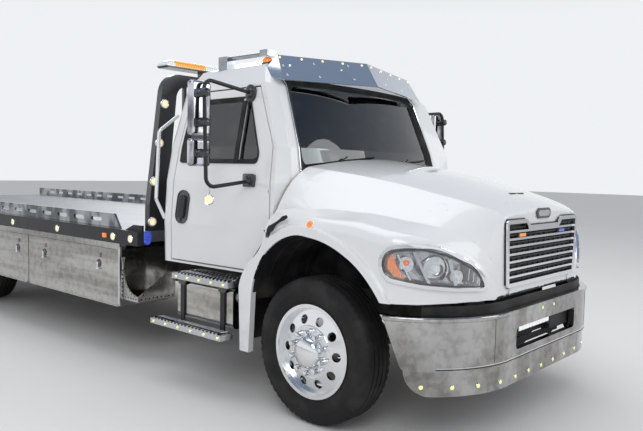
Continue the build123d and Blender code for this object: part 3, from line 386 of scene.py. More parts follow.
# %% Form kit
class Form:
    """Shapes that share a finish, gathered into one mesh."""

    def __init__(self):
        self.mesh = bmesh.new()

    def skin(self, rows, closed=False, ring=False):
        """Quads between rows of points. closed joins each row's ends, ring joins last row to first."""
        grid = [[self.mesh.verts.new(point) for point in row] for row in rows]
        pairs = list(zip(grid, grid[1:] + grid[:1])) if ring else list(zip(grid, grid[1:]))
        for one, two in pairs:
            count = len(one)
            for index in range(count if closed else count - 1):
                after = (index + 1) % count
                self.mesh.faces.new((one[index], one[after], two[after], two[index]))
        return grid

    def lids(self, grid):
        for row in (grid[0], grid[-1]):
            self.mesh.faces.new(row)

    def turned(self, centre, axis, rings, steps=24, capped=True):
        """Rings of (radius, distance along the axis) about a line through the centre."""
        axis = Vector(axis).normalized()
        side = axis.orthogonal().normalized()
        other = axis.cross(side)
        rows = [circle(centre + axis * along, side, other, radius, steps) for radius, along in rings]
        grid = self.skin(rows, closed=True)
        if capped:
            self.lids(grid)

    def plate(self, outline, thickness, round_by=0):
        """A flat outline of points given a thickness vector, with its front edges eased."""
        middle = sum(outline, Vector()) / len(outline)
        rows = [outline, [point + thickness for point in outline]]
        if round_by:
            share = round_by / max((point - middle).length for point in outline)
            eased = [point + (middle - point) * share for point in rows[1]]
            rows[1:] = [[point - thickness.normalized() * round_by for point in rows[1]], eased]
        self.lids(self.skin(rows, closed=True))

    def pad(self, centre, across, sizes, thickness, round_by=0, steps=5, up=upward):
        """A plate with round corners. sizes are its half width, half height and corner radius."""
        self.plate(rounded(centre, across, up, *sizes, steps), thickness, round_by)

    def block(self, low, high, round_by=0.003):
        """A box with eased edges, between two corners."""
        made = bmesh.ops.create_cube(self.mesh, size=1)["verts"]
        for vert in made:
            vert.co = [l + (h - l) * (c + 0.5) for l, h, c in zip(low, high, vert.co)]
        if round_by:
            edges = list({edge for vert in made for edge in vert.link_edges})
            bmesh.ops.bevel(self.mesh, geom=edges, offset=round_by, segments=2, affect="EDGES", profile=0.6)

    def tube(self, points, radius, sides=10, closed=False):
        """A round tube through points."""
        count = len(points)
        rows, side = [], None
        for index, point in enumerate(points):
            if closed:
                along = (points[(index + 1) % count] - points[index - 1]).normalized()
            else:
                along = (points[min(index + 1, count - 1)] - points[max(index - 1, 0)]).normalized()
            side = (side - along * side.dot(along)).normalized() if side else along.orthogonal().normalized()
            other = along.cross(side)
            wide = radius[index] if isinstance(radius, (list, tuple)) else radius
            rows.append(circle(point, side, other, wide, sides))
        grid = self.skin(rows, closed=True, ring=closed)
        if not closed:
            self.lids(grid)

    def dome(self, centre, normal, radius, height, steps=16):
        """A low round lens or rivet head standing on a surface."""
        self.turned(centre, normal, [(radius, -0.002), (radius, height * 0.35), (radius * 0.8, height * 0.8),
                                     (radius * 0.4, height)], steps)

    def mirrored(self):
        """Adds the same shapes on the other side of the truck."""
        everything = self.mesh.verts[:] + self.mesh.edges[:] + self.mesh.faces[:]
        made = bmesh.ops.duplicate(self.mesh, geom=everything)["geom"]
        for item in made:
            if isinstance(item, bmesh.types.BMVert):
                item.co.y = -item.co.y
        faces = [item for item in made if isinstance(item, bmesh.types.BMFace)]
        bmesh.ops.reverse_faces(self.mesh, faces=faces)
        return self

    def piece(self, name, body, finish, slot=None, sharp=35):
        """The finished object, riding on a body. Its slot argument is not used."""
        mesh = bpy.data.meshes.new(name)
        bmesh.ops.recalc_face_normals(self.mesh, faces=self.mesh.faces)
        self.mesh.to_mesh(mesh)
        mesh.materials.append(finish)
        mesh.polygons.foreach_set("use_smooth", [True] * len(mesh.polygons))
        mesh.set_sharp_from_angle(angle=math.radians(sharp))
        made = bpy.data.objects.new(name, mesh)
        bpy.context.scene.collection.objects.link(made)
        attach(made, body)
        print(name, len(mesh.polygons), "faces on", body)
        return made


def both_sides(body, *rows):
    """Makes each (form, name, finish) a piece that also has its mirror image on the truck's other side."""
    for form, name, finish in rows:
        form.mirrored().piece(name, body, finish)


print("form kit ready")

# %% [markdown]
# ## A smooth front end
# The hood's solid is made of straight spans between eight sections, so light breaks at each of them. A
# moulded panel flows through. Curves that never swing past a measure join the sections here into a
# second, smooth skin. Each point of the finely cut solid then moves by the distance between the two
# skins there, so openings and edges stay crisp. The headlights' parts go along with the hood, and the
# hood's inner faces and hinge arms get a black liner's finish.

# %% Smooth front end
sill_z = 0.80
front_rows = (
    # x, side y, side z, fender y, fender z, valley y, valley z, flank y, flank z, edge y, edge z, crown z
    (-0.470, 1.190, 1.180, 1.140, 1.270, 1.095, 1.330, 0.985, 1.500, 0.800, 1.628, 1.705),
    (0.000, 1.190, 1.225, 1.130, 1.310, 1.040, 1.355, 0.905, 1.460, 0.745, 1.572, 1.645),
    (0.300, 1.190, 1.220, 1.125, 1.305, 1.000, 1.345, 0.850, 1.430, 0.705, 1.525, 1.592),
    (0.560, 1.190, 1.190, 1.115, 1.270, 0.935, 1.310, 0.790, 1.385, 0.655, 1.468, 1.530),
    (0.740, 1.085, 1.165, 1.015, 1.235, 0.860, 1.275, 0.730, 1.345, 0.610, 1.425, 1.482),
    (0.860, 0.880, 1.095, 0.835, 1.155, 0.750, 1.215, 0.660, 1.300, 0.573, 1.390, 1.442),
    (0.925, 0.735, 1.000, 0.705, 1.055, 0.665, 1.130, 0.610, 1.245, 0.548, 1.363, 1.412),
    (0.965, 0.610, 0.880, 0.598, 0.930, 0.580, 1.040, 0.562, 1.190, 0.530, 1.340, 1.385),
)


def gentle(places, values, x):
    """A curve through the values that never swings past them, read at x."""
    rises = [(b - a) / (q - p) for a, b, p, q in zip(values, values[1:], places, places[1:])]
    slopes = [2 * a * b / (a + b) if a * b > 0 else 0 for a, b in zip(rises, rises[1:])]
    slopes = [rises[0], *slopes, rises[-1]]
    span = max(index for index in range(len(rises)) if x >= places[index] - 1e-9)
    step = places[span + 1] - places[span]
    t = (x - places[span]) / step
    return ((1 + 2 * t) * (1 - t) ** 2 * values[span] + t * (1 - t) ** 2 * step * slopes[span]
            + t * t * (3 - 2 * t) * values[span + 1] + t * t * (t - 1) * step * slopes[span + 1])


def arc(start, through, end, count):
    """Points at even angles on the circle through three points."""
    a, b, c = (Vector(p) for p in (start, through, end))
    area = 2 * (a.x * (b.y - c.y) + b.x * (c.y - a.y) + c.x * (a.y - b.y))
    if abs(area) < 1e-9:
        return [a.lerp(c, step / count) for step in range(count + 1)]
    squares = [p.length_squared for p in (a, b, c)]
    centre = Vector((squares[0] * (b.y - c.y) + squares[1] * (c.y - a.y) + squares[2] * (a.y - b.y),
                     squares[0] * (c.x - b.x) + squares[1] * (a.x - c.x) + squares[2] * (b.x - a.x))) / area
    first, last = a - centre, c - centre
    sweep = math.atan2(first.x * last.y - first.y * last.x, first.dot(last))
    points = []
    for step in range(count + 1):
        turned = sweep * step / count
        points.append(centre + Vector((first.x * math.cos(turned) - first.y * math.sin(turned),
                                       first.x * math.sin(turned) + first.y * math.cos(turned))))
    return points


def half_section(side, side_z, fender, fender_z, valley, valley_z, flank, flank_z, edge, edge_z, crown):
    """Right half of a section through the front end, from the sill up to the middle."""
    run, rise = side - fender, fender_z - side_z
    radius = (run ** 2 + rise ** 2) / (2 * run)
    half = math.asin(min(1, rise / radius)) / 2
    middle = (side - radius * (1 - math.cos(half)), side_z + radius * math.sin(half))
    points = [Vector((side, sill_z + (side_z - sill_z) * step / 8)) for step in range(8)]
    points += arc((side, side_z), middle, (fender, fender_z), 8)[:-1]
    points += [Vector((fender, fender_z)).lerp(Vector((valley, valley_z)), step / 4) for step in range(4)]
    points += arc((valley, valley_z), (flank, flank_z), (edge, edge_z), 12)[:-1]
    return points + arc((edge, edge_z), (0, crown), (-edge, edge_z), 24)[:13]


print("sections:", len(front_rows))

# %% Straight and smooth skins
spans = 10
places = [row[0] for row in front_rows]
straight, smooth = [], []
for one, two in zip(front_rows, front_rows[1:]):
    for step in range(spans + (two is front_rows[-1])):
        x = one[0] + (two[0] - one[0]) * step / spans
        ends = (half_section(*one[1:]), half_section(*two[1:]))
        straight.append([Vector((x + axle_x, *a.lerp(b, step / spans))) for a, b in zip(*ends)])
        measures = [gentle(places, [row[column] for row in front_rows], x) for column in range(1, 12)]
        smooth.append([Vector((x + axle_x, *point)) for point in half_section(*measures)])
columns = len(straight[0])
cells = [(i * columns + j, i * columns + j + 1, (i + 1) * columns + j + 1, (i + 1) * columns + j)
         for i in range(len(straight) - 1) for j in range(columns - 1)]
skin_tree = BVHTree.FromPolygons([point for row in straight for point in row], cells)
print("skins of", len(straight), "by", columns, "points")

# %% Move the front end onto the smooth skin
near_skin, full_skin = 0.06, 0.03
liner_black = dull("liner_black", (0.012, 0.012, 0.013), 0.75, 120, 0.0004, dust=0.12)
slot_of[liner_black.name] = "dark_plastic"
# The hinge arms' reach, then where the hood's inner faces begin, counted from the front axle.
arm_rear, arm_half, arm_top = 0.40, 0.60, 0.874
inner_front, inner_foot, wall, middle_z = 0.88, 0.868, 0.004, 0.9


def finely_cut(mesh, longest, rounds=7):
    for _ in range(rounds):
        long_edges = [edge for edge in mesh.edges if edge.calc_length() > longest]
        bmesh.ops.subdivide_edges(mesh, edges=long_edges, cuts=1)
        bmesh.ops.triangulate(mesh, faces=[face for face in mesh.faces if len(face.verts) > 3])


def shift_there(point):
    """How far the smooth skin lies from the straight one, near a point."""
    sign = -1 if point.y < 0 else 1
    near = Vector((point.x, abs(point.y), point.z))
    found, _, cell, away = skin_tree.find_nearest(near)
    if away > near_skin:
        return Vector()
    i, j = divmod(cell, columns - 1)
    along = min(1, max(0, (found.x - straight[i][0].x) / (straight[i + 1][0].x - straight[i][0].x)))
    corners = [straight[i][j + k].lerp(straight[i + 1][j + k], along) for k in (0, 1)]
    rung = corners[1] - corners[0]
    up = min(1, max(0, (found - corners[0]).dot(rung) / max(rung.length_squared, 1e-12)))
    shifts = [smooth[a][b] - straight[a][b] for a in (i, i + 1) for b in (j, j + 1)]
    moved = shifts[0].lerp(shifts[2], along).lerp(shifts[1].lerp(shifts[3], along), up)
    moved *= min(1, (near_skin - away) / full_skin)
    return Vector((moved.x, moved.y * sign, moved.z))


def is_inside(point):
    """True for the hood's inner faces and its hinge arms, which are black moulding and steel."""
    if point.x > axle_x + arm_rear and abs(point.y) < arm_half and point.z < arm_top:
        return True
    if point.x >= axle_x + inner_front or point.z <= inner_foot:
        return False
    near = Vector((point.x, abs(point.y), point.z))
    found, _, _, away = smooth_tree.find_nearest(near)
    outward = found - Vector((found.x, 0, middle_z))
    return away > wall and (near - found).dot(outward) < 0


smooth_tree = BVHTree.FromPolygons([point for row in smooth for point in row], cells)
print("the skins act within", near_skin, "m")

# %% Hood and headlights
for name in ("hood", "headlight_bezels", "headlights", "headlight_bowls"):
    panel = Form()
    panel.mesh.from_mesh(nodes[name].data)
    bmesh.ops.remove_doubles(panel.mesh, verts=panel.mesh.verts, dist=0.00001)
    finely_cut(panel.mesh, 0.03)
    furthest = 0
    for vert in panel.mesh.verts:
        moved = shift_there(vert.co)
        vert.co += moved
        furthest = max(furthest, moved.length)
    made = panel.piece(f"{name}_smooth", "hood", nodes[name].data.materials[0], sharp=24)
    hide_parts(name)
    if name == "hood":
        made.data.materials.append(liner_black)
        for face in made.data.polygons:
            face.material_index = int(is_inside(face.center))
    trees[name] = tree_of(made.data)
    print(name, "moves by up to", round(furthest * 1000, 1), "mm")

# %% [markdown]
# ## Arch liners
# Behind each wheel opening a truck has a black moulded liner that keeps spray off the engine. It
# follows the arch a little above its edge, from the fender's side to a wall beside the frame, and a
# few low ribs stiffen it.

# %% Arch liners
wall_y, wall_foot = 0.600, 0.800
arch_path = [(-0.515, 0.720), (-0.515, wall_foot)]
for start, through, end in (((-0.515, wall_foot), (-0.377, 1.062), (-0.080, 1.197)),
                            ((-0.080, 1.197), (0.277, 1.115), (0.560, 0.868))):
    arch_path += [tuple(p) for p in arc(start, through, end, 12)[1:]]
rib_section = ((-0.012, -0.001), (-0.008, 0.006), (0.008, 0.006), (0.012, -0.001))
liners = Form()
liners.skin([[at(x, -y, z) for x, z in arch_path] for y in (wall_y, 0.780, 0.960, 1.166)])
liners.skin([[at(x, -wall_y, min(z, limit)) for x, z in arch_path] for limit in (math.inf, wall_foot)])
for y in (0.660, 0.780, 0.900, 1.020):
    liners.skin([[at(x, dy - y, z - dz) for x, z in arch_path[1:]] for dy, dz in rib_section])
liners.mirrored().piece("arch_liners", "hood", liner_black)

# %% [markdown]
# ## Tyres
# A truck's tyre is a turned shape: two beads, round sidewalls with raised rings, squared shoulders and
# a tread with straight grooves all the way round. Turning one profile gives all of it but the notches
# in the shoulders, so the turning leaves every third step of those rings a little lower. The steps are
# fine enough for the grooves to stay crisp, and each tyre stands for its plain CAD solid.

# %% Tyres
tyre_radius, groove_depth, notch_depth = 0.465, 0.011, 0.006
side_rings = (
    # radius, across, 1 where the shoulder is notched
    (0.290, -0.1055, 0), (0.300, -0.1055, 0), (0.306, -0.1120, 0), (0.322, -0.1190, 0), (0.326, -0.1215, 0),
    (0.332, -0.1215, 0), (0.336, -0.1235, 0), (0.372, -0.1262, 0), (0.376, -0.1273, 0), (0.384, -0.1273, 0),
    (0.388, -0.1262, 0), (0.412, -0.1225, 0), (0.428, -0.1195, 0), (0.446, -0.1120, 1), (0.4565, -0.1015, 1),
    (0.462, -0.0900, 1), (0.4635, -0.0720, 0),
)
tyre_rings = list(side_rings)
for groove in (-0.062, -0.0205, 0.0205, 0.062):
    tyre_rings += [(tyre_radius - depth, groove + half, 0) for half, depth in
                   ((-0.006, 0), (-0.004, groove_depth), (0.004, groove_depth), (0.006, 0))]
tyre_rings += [(radius, -across, notched) for radius, across, notched in reversed(side_rings)]
wheel_rows = (
    # tyre, body, x from the front axle, distances from the middle of the truck
    ("tyre_front", "wheel_front", 0, (1.040,)),
    ("tyres_rear", "wheels_rear", -5.460, (1.091, 0.791)),
)


def add_tyre(form, centre, steps=180):
    rows = []
    for radius, across, notched in tyre_rings:
        middle = centre + leftward * across
        rows.append(circle(middle, forward, upward, radius, steps))
        if notched:
            rows[-1][::3] = circle(middle, forward, upward, radius - notch_depth, steps)[::3]
    form.skin(rows, closed=True, ring=True)


for name, body, x, distances in wheel_rows:
    for side, sign in sides:
        tyres = Form()
        for y in distances:
            add_tyre(tyres, at(x, sign * y, tyre_radius))
        made = tyres.piece(f"{name}_{side}_tread", f"{body}_{side}", tyre_rubber, sharp=28)
        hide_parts(f"{name}_{side}")

# %% [markdown]
# ## Wheel nuts and hub caps
# Polished wheels carry a bright cover over each nut and a pointed cap over the hub. Both are small
# turned shapes, set in a circle round the wheel's middle and standing on the wheel's own face.

# %% Wheel covers
nut_circle, nut_count = 0.128, 10
cover_rows = (
    # name, body, x, y, nut's base, nut's height, (rings, steps) of each turned shape round the hub
    ("front", "wheel_front", 0, 1.040, 0.110, 0.062,
     (([(0.104, 0.112), (0.106, 0.118), (0.103, 0.122), (0.101, 0.140), (0.094, 0.158), (0.076, 0.172),
        (0.046, 0.181), (0.010, 0.1855)], 48),
      ([(0.164, 0.110), (0.166, 0.1145), (0.163, 0.117), (0.152, 0.117), (0.150, 0.110)], 64))),
    ("rear", "wheels_rear", -5.460, 0.941, 0.016, 0.055,
     (([(0.103, 0.02), (0.103, 0.075), (0.098, 0.08), (0.098, 0.118), (0.09, 0.13), (0.074, 0.152),
        (0.06, 0.160), (0.02, 0.163)], 48),)),
)
for side, sign in sides:
    for name, body, x, y, base, height, hub_shapes in cover_rows:
        covers, middle, outward = Form(), at(x, sign * y, tyre_radius), leftward * sign
        for spot in circle(middle, forward, upward, nut_circle, 2 * nut_count)[1::2]:
            covers.turned(spot, outward, [(0.022, base), (0.0225, base + 0.004), (0.0185, base + 0.007),
                                          (0.0175, base + height * 0.7), (0.013, base + height * 0.93),
                                          (0.004, base + height)], 12)
        for rings, steps in hub_shapes:
            covers.turned(middle, outward, rings, steps)
        covers.piece(f"wheel_covers_{name}_{side}", f"{body}_{side}", chrome)

# %% [markdown]
# ## Window seals
# Each window sits in a thick black rubber. Its path is the window's outline twice over, once a little
# outside and once inside with rounder corners. Points on both are sent at the cab and at the glass,
# and the rubber is a soft ridge from one to the other, wider in the corners as the real one is. The
# windshield's has a thin bright strip in its groove.

# %% Window seals
def offset_corners(corners, grow):
    """Corners of a flat outline moved out by a distance."""
    area = sum(a[0] * b[1] - b[0] * a[1] for a, b in zip(corners, corners[1:] + corners[:1]))
    moved = []
    for before, here, after in zip(corners[-1:] + corners[:-1], corners, corners[1:] + corners[:1]):
        ways = [(Vector(b) - Vector(a)).normalized() for a, b in ((before, here), (here, after))]
        outs = [Vector((way.y, -way.x)) * (1 if area > 0 else -1) for way in ways]
        moved.append(Vector(here) + (outs[0] + outs[1]) * grow / (1 + outs[0].dot(outs[1])))
    return moved


def window_path(corners, grow, radius, pitch=0.03):
    """Evenly cut outline with round corners. Paths round the same corners have as many points."""
    moved = offset_corners(corners, grow)
    points = []
    for index, here in enumerate(moved):
        before, after = moved[index - 1], moved[(index + 1) % len(moved)]
        start, end = here + (before - here).normalized() * radius, here + (after - here).normalized() * radius
        points += [start.lerp(here, s / 5).lerp(here.lerp(end, s / 5), s / 5) for s in range(6)]
        far = after + (here - after).normalized() * radius
        span = Vector(corners[(index + 1) % len(corners)]) - Vector(corners[index])
        count = max(2, round(span.length / pitch))
        points += [end.lerp(far, s / count) for s in range(1, count)]
    return points


def window_seal(name, body, corners, ray, frame_names, glass_name, radius=0.07, into=0.024, out=0.010):
    """Rubber round one window. ray turns a flat point into a ray's start and direction."""
    seal = Form()
    rows = [[], [], [], []]
    for outer, inner in zip(window_path(corners, out, 0.03), window_path(corners, -into, radius)):
        on_frame, frame_out = touch(frame_names + (glass_name,), *ray(outer))
        on_glass, glass_out = touch((glass_name,), *ray(inner))
        rows[0].append(on_frame - frame_out * 0.002)
        rows[1].append(on_frame + frame_out * 0.008)
        rows[2].append(on_frame.lerp(on_glass, 0.5) + glass_out * 0.010)
        rows[3].append(on_glass - glass_out * 0.001)
    seal.skin(rows, closed=True)
    seal.piece(name, body, seal_rubber, sharp=60)
    return rows[1]


print("seal kit ready")

# %% Seals round each window
cab_shell = ("cab_roof", "cab_sides", "cab_floor", "cab_back")
windshield = [(-0.840, 1.570), (0.840, 1.570), (0.775, 2.235), (-0.775, 2.235)]
rear_window = [(-0.620, 1.620), (0.620, 1.620), (0.560, 2.080), (-0.560, 2.080)]
door_window = [(-1.400, 1.640), (-0.590, 1.640), (-0.575, 1.700), (-0.740, 2.090), (-1.400, 2.090)]
groove = window_seal("windshield_seal", "chassis", windshield, lambda p: (at(0.4, *p), -forward), cab_shell,
                     "cab_glass", radius=0.11, into=0.036)
strip = Form()
strip.tube([point + forward * 0.002 for point in groove], 0.0035, 6, closed=True)
strip.piece("windshield_strip", "chassis", chrome)
window_seal("rear_window_seal", "chassis", rear_window, lambda p: (at(-1.66, *p), forward), cab_shell,
            "cab_glass", radius=0.08)
for side, sign in sides:
    window_seal(f"door_window_seal_{side}", f"door_{side}", door_window,
                lambda p: (at(p[0], sign * 1.35, p[1]), -leftward * sign), (f"door_{side}",),
                f"door_glass_{side}", radius=0.05)

# %% [markdown]
# ## Solids with two finishes
# A few solids carry two finishes in reality: the deck's black rail under its polished board, the
# mirrors' black arms with chrome heads, and the steps' black straps. Each is one mesh here, so the
# shader picks the finish from the place of the point: a comparison gives 0 or 1, and products of
# comparisons cut out a box.

# %% Masks by place
board_foot, board_front = 1.0905, -2.0
head_front, head_inner = -0.729, 1.358
strap_places, strap_half, strap_foot, strap_top = (-1.25, -0.80), 0.024, 0.4655, 0.7795


def behind(finish, x):
    """1 behind a distance from the front axle."""
    return 1 - (finish.axis("X") > x + axle_x)


def out_from_middle(finish):
    """Distance from the truck's middle plane."""
    return finish.add("Math", {"operation": "ABSOLUTE"}, {0: finish.axis("Y")})


def board_mask(finish):
    return (finish.axis("Z") > board_foot) * behind(finish, board_front)


def head_mask(finish):
    return behind(finish, head_front) * (out_from_middle(finish) > head_inner)


def step_mask(finish):
    x, z = finish.axis("X"), finish.axis("Z")
    straps = [(x > axle_x + place - strap_half) * (1 - (x > axle_x + place + strap_half))
              for place in strap_places]
    upright = (z > strap_foot) * (1 - (z > strap_top))
    return 1 - (straps[0] + straps[1]) * upright


print("masks ready")

# %% Finishes with two parts
def part_metal(name, mask, metal, roughness, dark=None):
    """Metal where the mask is 1, with darker patches of painted reflection if a dark colour is given, and
    black paint elsewhere.
    """
    mixed = Finish(name, Coat_Roughness=0.05, Specular_IOR_Level=0.3)
    share = mask(mixed)
    fine = mixed.clouds(1, 3, mixed.stretched(2, 60, 60))
    film = mixed.band(mixed.clouds(5, 7), 0.45, 0.8) * 0.2
    plain = 1 - share
    if dark:
        metal = mixed.blend(mixed.band(mixed.clouds(4, 5, mixed.stretched(2, 2, 0.8)), 0.4, 0.6), metal, dark)
    mixed.shade(Base_Color=mixed.blend(share, (0.008, 0.008, 0.009), mixed.blend(film, metal, road_dust)),
                Metallic=share, Roughness=share * (roughness + fine * 0.08 + film) + plain * (0.35 + film),
                Coat_Weight=plain * 0.35)
    mixed.relief(mixed.clouds(3, 1), 0.0008)
    return mixed.material


# The deck board's and the mirror heads' dark colours give painted reflections.
rail_and_board = part_metal("rail_and_board", board_mask, (0.62, 0.63, 0.65), 0.08, (0.2, 0.21, 0.22))
mirror_finish = part_metal("mirror_finish", head_mask, (0.66, 0.67, 0.72), 0.04, (0.13, 0.13, 0.15))
step_finish = part_metal("step_finish", step_mask, (0.62, 0.63, 0.65), 0.22)
# The horn's dark patches are painted reflections.
horn_steel = painted_reflection_metal("horn_steel", (0.46, 0.48, 0.51), (0.24, 0.26, 0.29), 0.14, 0.002)
for name, finish in (("deck_sides", rail_and_board), ("mirror_left", mirror_finish),
                     ("mirror_right", mirror_finish), ("cab_steps", step_finish), ("air_horn", horn_steel)):
    nodes[name].data.materials[0] = finish
    print(name, "wears", finish.name)

# %% [markdown]
# ## Lamp finishes
# Small lamps are lit diodes under clear plastic. A few rows of bright dots over a dimmer ground read
# as diodes from a step away, and a faint glow lets them show in daylight without lighting the truck.

# %% Lamp finishes
def dotted(finish, scale, randomness):
    """Distance from the nearest of many evenly spread points."""
    return finish.add("TexVoronoi", {"feature": "F1"},
                      {"Vector": finish.here(), "Scale": scale, "Randomness": randomness})


def diodes(name, ground, glow, strength, pitch, slot="lamp"):
    lamp = Finish(name, Roughness=0.15, Coat_Weight=1, Emission_Strength=strength)
    dots = 1 - lamp.band(dotted(lamp, pitch, 0.2), 0.15, 0.5)
    lamp.shade(Base_Color=lamp.blend(dots, ground, glow), Emission_Color=lamp.blend(dots, ground, glow))
    lamp.relief(dots, 0.0004)
    slot_of[lamp.material.name] = slot
    return lamp.material


warm_led = diodes("warm_led", (0.75, 0.62, 0.34), (1, 0.95, 0.75), 0.8, 90)
green_led = diodes("green_led", (0.6, 0.62, 0.1), (0.95, 1, 0.45), 0.9, 140)
amber_led = diodes("amber_led", (0.75, 0.16, 0.01), (1, 0.4, 0.05), 0.5, 120, slot="amber")
blue_led = diodes("blue_led", (0.01, 0.02, 0.3), (0.1, 0.2, 0.9), 0.6, 90)
red_led = diodes("red_led", (0.35, 0.01, 0.01), (0.8, 0.03, 0.02), 0.3, 90)
white_led = diodes("white_led", (0.75, 0.78, 0.8), (1, 1, 1), 0.5, 110)
print("lamp finishes:", warm_led.name, green_led.name, amber_led.name, blue_led.name)

# %% [markdown]
# ## Round lamps along the deck and the hoop
# Work lights in chrome rings are let into the deck's side rail, and more climb the hoop's posts. Small
# tables hold their places on the right side, and the left side is its mirror image. Each is a ring
# turned round a disc.

# %% Deck and hoop lamps
def ring_lamp(rings, discs, centre, normal, radius):
    """A lens with a raised ring round it, standing on a surface."""
    rings.turned(centre, normal, [(radius, -0.002), (radius, 0.006), (radius * 0.93, 0.009),
                                  (radius * 0.78, 0.007), (radius * 0.76, 0.002)], 28)
    discs.turned(centre, normal, [(radius * 0.77, 0.001), (radius * 0.77, 0.005), (radius * 0.6, 0.0095),
                                  (radius * 0.3, 0.011), (radius * 0.05, 0.0115)], 28)


rail_z = 1.028
rings, discs, markers, blues = Form(), Form(), Form(), Form()
for x in (-4.760, -5.650, -6.540, -7.430, -8.200, -3.873, -2.988, -2.075, -1.824):
    ring_lamp(rings, discs, at(x, -1.26, rail_z), -leftward, 0.032)
for y, z in ((-1.014, 2.095), (-1.062, 1.785), (-1.110, 1.482), (-1.125, 1.163)):
    ring_lamp(rings, discs, at(-1.735, y, z), forward, 0.038)
for x in (-2.203, -5.20, -8.10):
    markers.pad(at(x, -1.2595, rail_z), forward, (0.028, 0.019, 0.006), -leftward * 0.012, 0.004)
blues.pad(at(-1.7355, -1.17, 1.038), leftward, (0.033, 0.056, 0.032), forward * 0.012, 0.006, steps=8)
both_sides("deck", (rings, "lamp_rings", chrome), (discs, "lamp_discs", warm_led),
           (markers, "side_markers", amber_led), (blues, "blue_lamps", blue_led))

# %% [markdown]
# ## Grille backing, badge place and strobes
# Behind the bars a real grille has a black mesh and louvres, so that nothing bright shows through. A
# fine grid of crossed bars in front of a dark plate gives that depth. The badge's place above the
# grille is a plain dark oval with a plain steel inset, and two strobe lamps sit between the bars. A
# black tube of painted shadow runs round the grille where it meets the opening's edge.

# %% Grille details
plate_x, strobe_y = 0.945, 0.30
half_plate = ((0.500, 0.925), (0.528, 1.316), (0.240, 1.316), (0.195, 1.276))
backing, strobes = Form(), Form()
outline = [(-0.500, 0.925), *half_plate, *((-y, z) for y, z in reversed(half_plate[1:]))]
backing.plate([at(plate_x, y, z) for y, z in outline], -forward * 0.006)
for index in range(8):
    z = 0.952 + index * 0.046
    backing.block(at(plate_x, -0.485, z - 0.004), at(0.962, 0.485, z + 0.004), 0.001)
for index in range(13):
    y = -0.468 + index * 0.078
    backing.block(at(plate_x, y - 0.003, 0.935), at(0.953, y + 0.003, 1.27), 0.001)
backing.piece("grille_backing", "hood", dark_plastic)

for y in (-strobe_y, strobe_y):
    strobes.block(at(0.957, y - 0.055, 1.212), at(0.972, y + 0.055, 1.240), 0.004)
strobes.piece("grille_strobe_bodies", "hood", dark_plastic)
for y, colour, finish in ((-strobe_y, "amber", amber_led), (strobe_y, "blue", blue_led)):
    lens = Form()
    lens.pad(at(0.971, y, 1.226), leftward, (0.042, 0.010, 0.004), forward * 0.006, 0.003)
    lens.piece(f"grille_strobe_{colour}", "hood", finish, slot="lamp")

badge, inset, shadow_line = Form(), Form(), Form()
badge_at = touch(("hood",), at(1.3, 0, 1.352), -forward)[0] + forward * 0.004
badge.pad(badge_at, leftward, (0.104, 0.034, 0.033), forward * 0.007, 0.003, steps=12)
badge.piece("badge_place", "hood", black_paint)
inset.pad(badge_at + forward * 0.007, leftward, (0.082, 0.019, 0.018), forward * 0.002, 0.001, steps=12)
inset.piece("badge_inset", "hood", polished_steel)

# The black tube round the opening is painted shadow in the gap there.
half_shadow_line = ((0.505, 0.915), (0.535, 1.325), (0.262, 1.325), (0.215, 1.284))
corners = [Vector(p) for p in ((-0.505, 0.915), *half_shadow_line, *((-y, z) for y, z in reversed(half_shadow_line[1:])))]
path = []
for index, corner in enumerate(corners):
    for other in (corners[index - 1], corners[(index + 1) % len(corners)]):
        path.append(corner + (other - corner).normalized() * 0.022)
shadow_line.tube([at(0.970, *p) for p in path], 0.0055, 6, closed=True)
shadow_line.piece("grille_shadow_line", "hood", seal_rubber)

# %% [markdown]
# ## Front bumper details
# A black strip closes the gap between bumper and hood, and a row of small round lamps follows the
# lower edge. Each lamp is found by sending a ray at the bumper, so that it also follows the bend at
# the ends.

# %% Bumper strip and lamps
def on_bumper(y, z):
    return touch(("front_bumper",), at(2, y, z), -forward)


filler, bumper_rings, bumper_leds = Form(), Form(), Form()
end_y, steps = 1.06, 44
path = []
for index in range(steps + 1):
    y = -end_y + index * 2 * end_y / steps
    path.append(Vector((on_bumper(y, 0.787)[0].x - 0.050, y * 0.985, 0)))
filler.skin([[point + Vector((x, 0, z)) for point in path]
             for x, z in ((-0.003, 0.762), (0, 0.765), (0, 0.840), (-0.004, 0.845))])
filler.piece("bumper_filler", "chassis", seal_rubber)
bumper_lamps = (
    # across from the middle, height
    (-1.065, 0.393), (-0.936, 0.391), (-0.789, 0.388), (-0.612, 0.382), (-0.425, 0.376), (-0.243, 0.375),
    (-0.057, 0.372), (0.129, 0.372), (0.315, 0.376), (0.500, 0.380), (0.680, 0.385), (0.860, 0.390),
    (1.010, 0.392),
)
for y, z in bumper_lamps:
    bumper_rings.turned(*on_bumper(y, z), [(0.014, -0.002), (0.014, 0.003), (0.0125, 0.0045), (0.011, 0.004),
                                           (0.0105, 0.001)], 16)
    bumper_leds.turned(*on_bumper(y, z), [(0.011, 0), (0.011, 0.004), (0.007, 0.007), (0.001, 0.008)], 16)
for y in (-0.081, 0.092):
    bumper_leds.turned(*on_bumper(y, 0.752), [(0.010, -0.001), (0.010, 0.001), (0.006, 0.003),
                                              (0.001, 0.0035)], 16)
bumper_rings.piece("bumper_lamp_rings", "chassis", chrome)
bumper_leds.piece("bumper_lamps", "chassis", green_led)
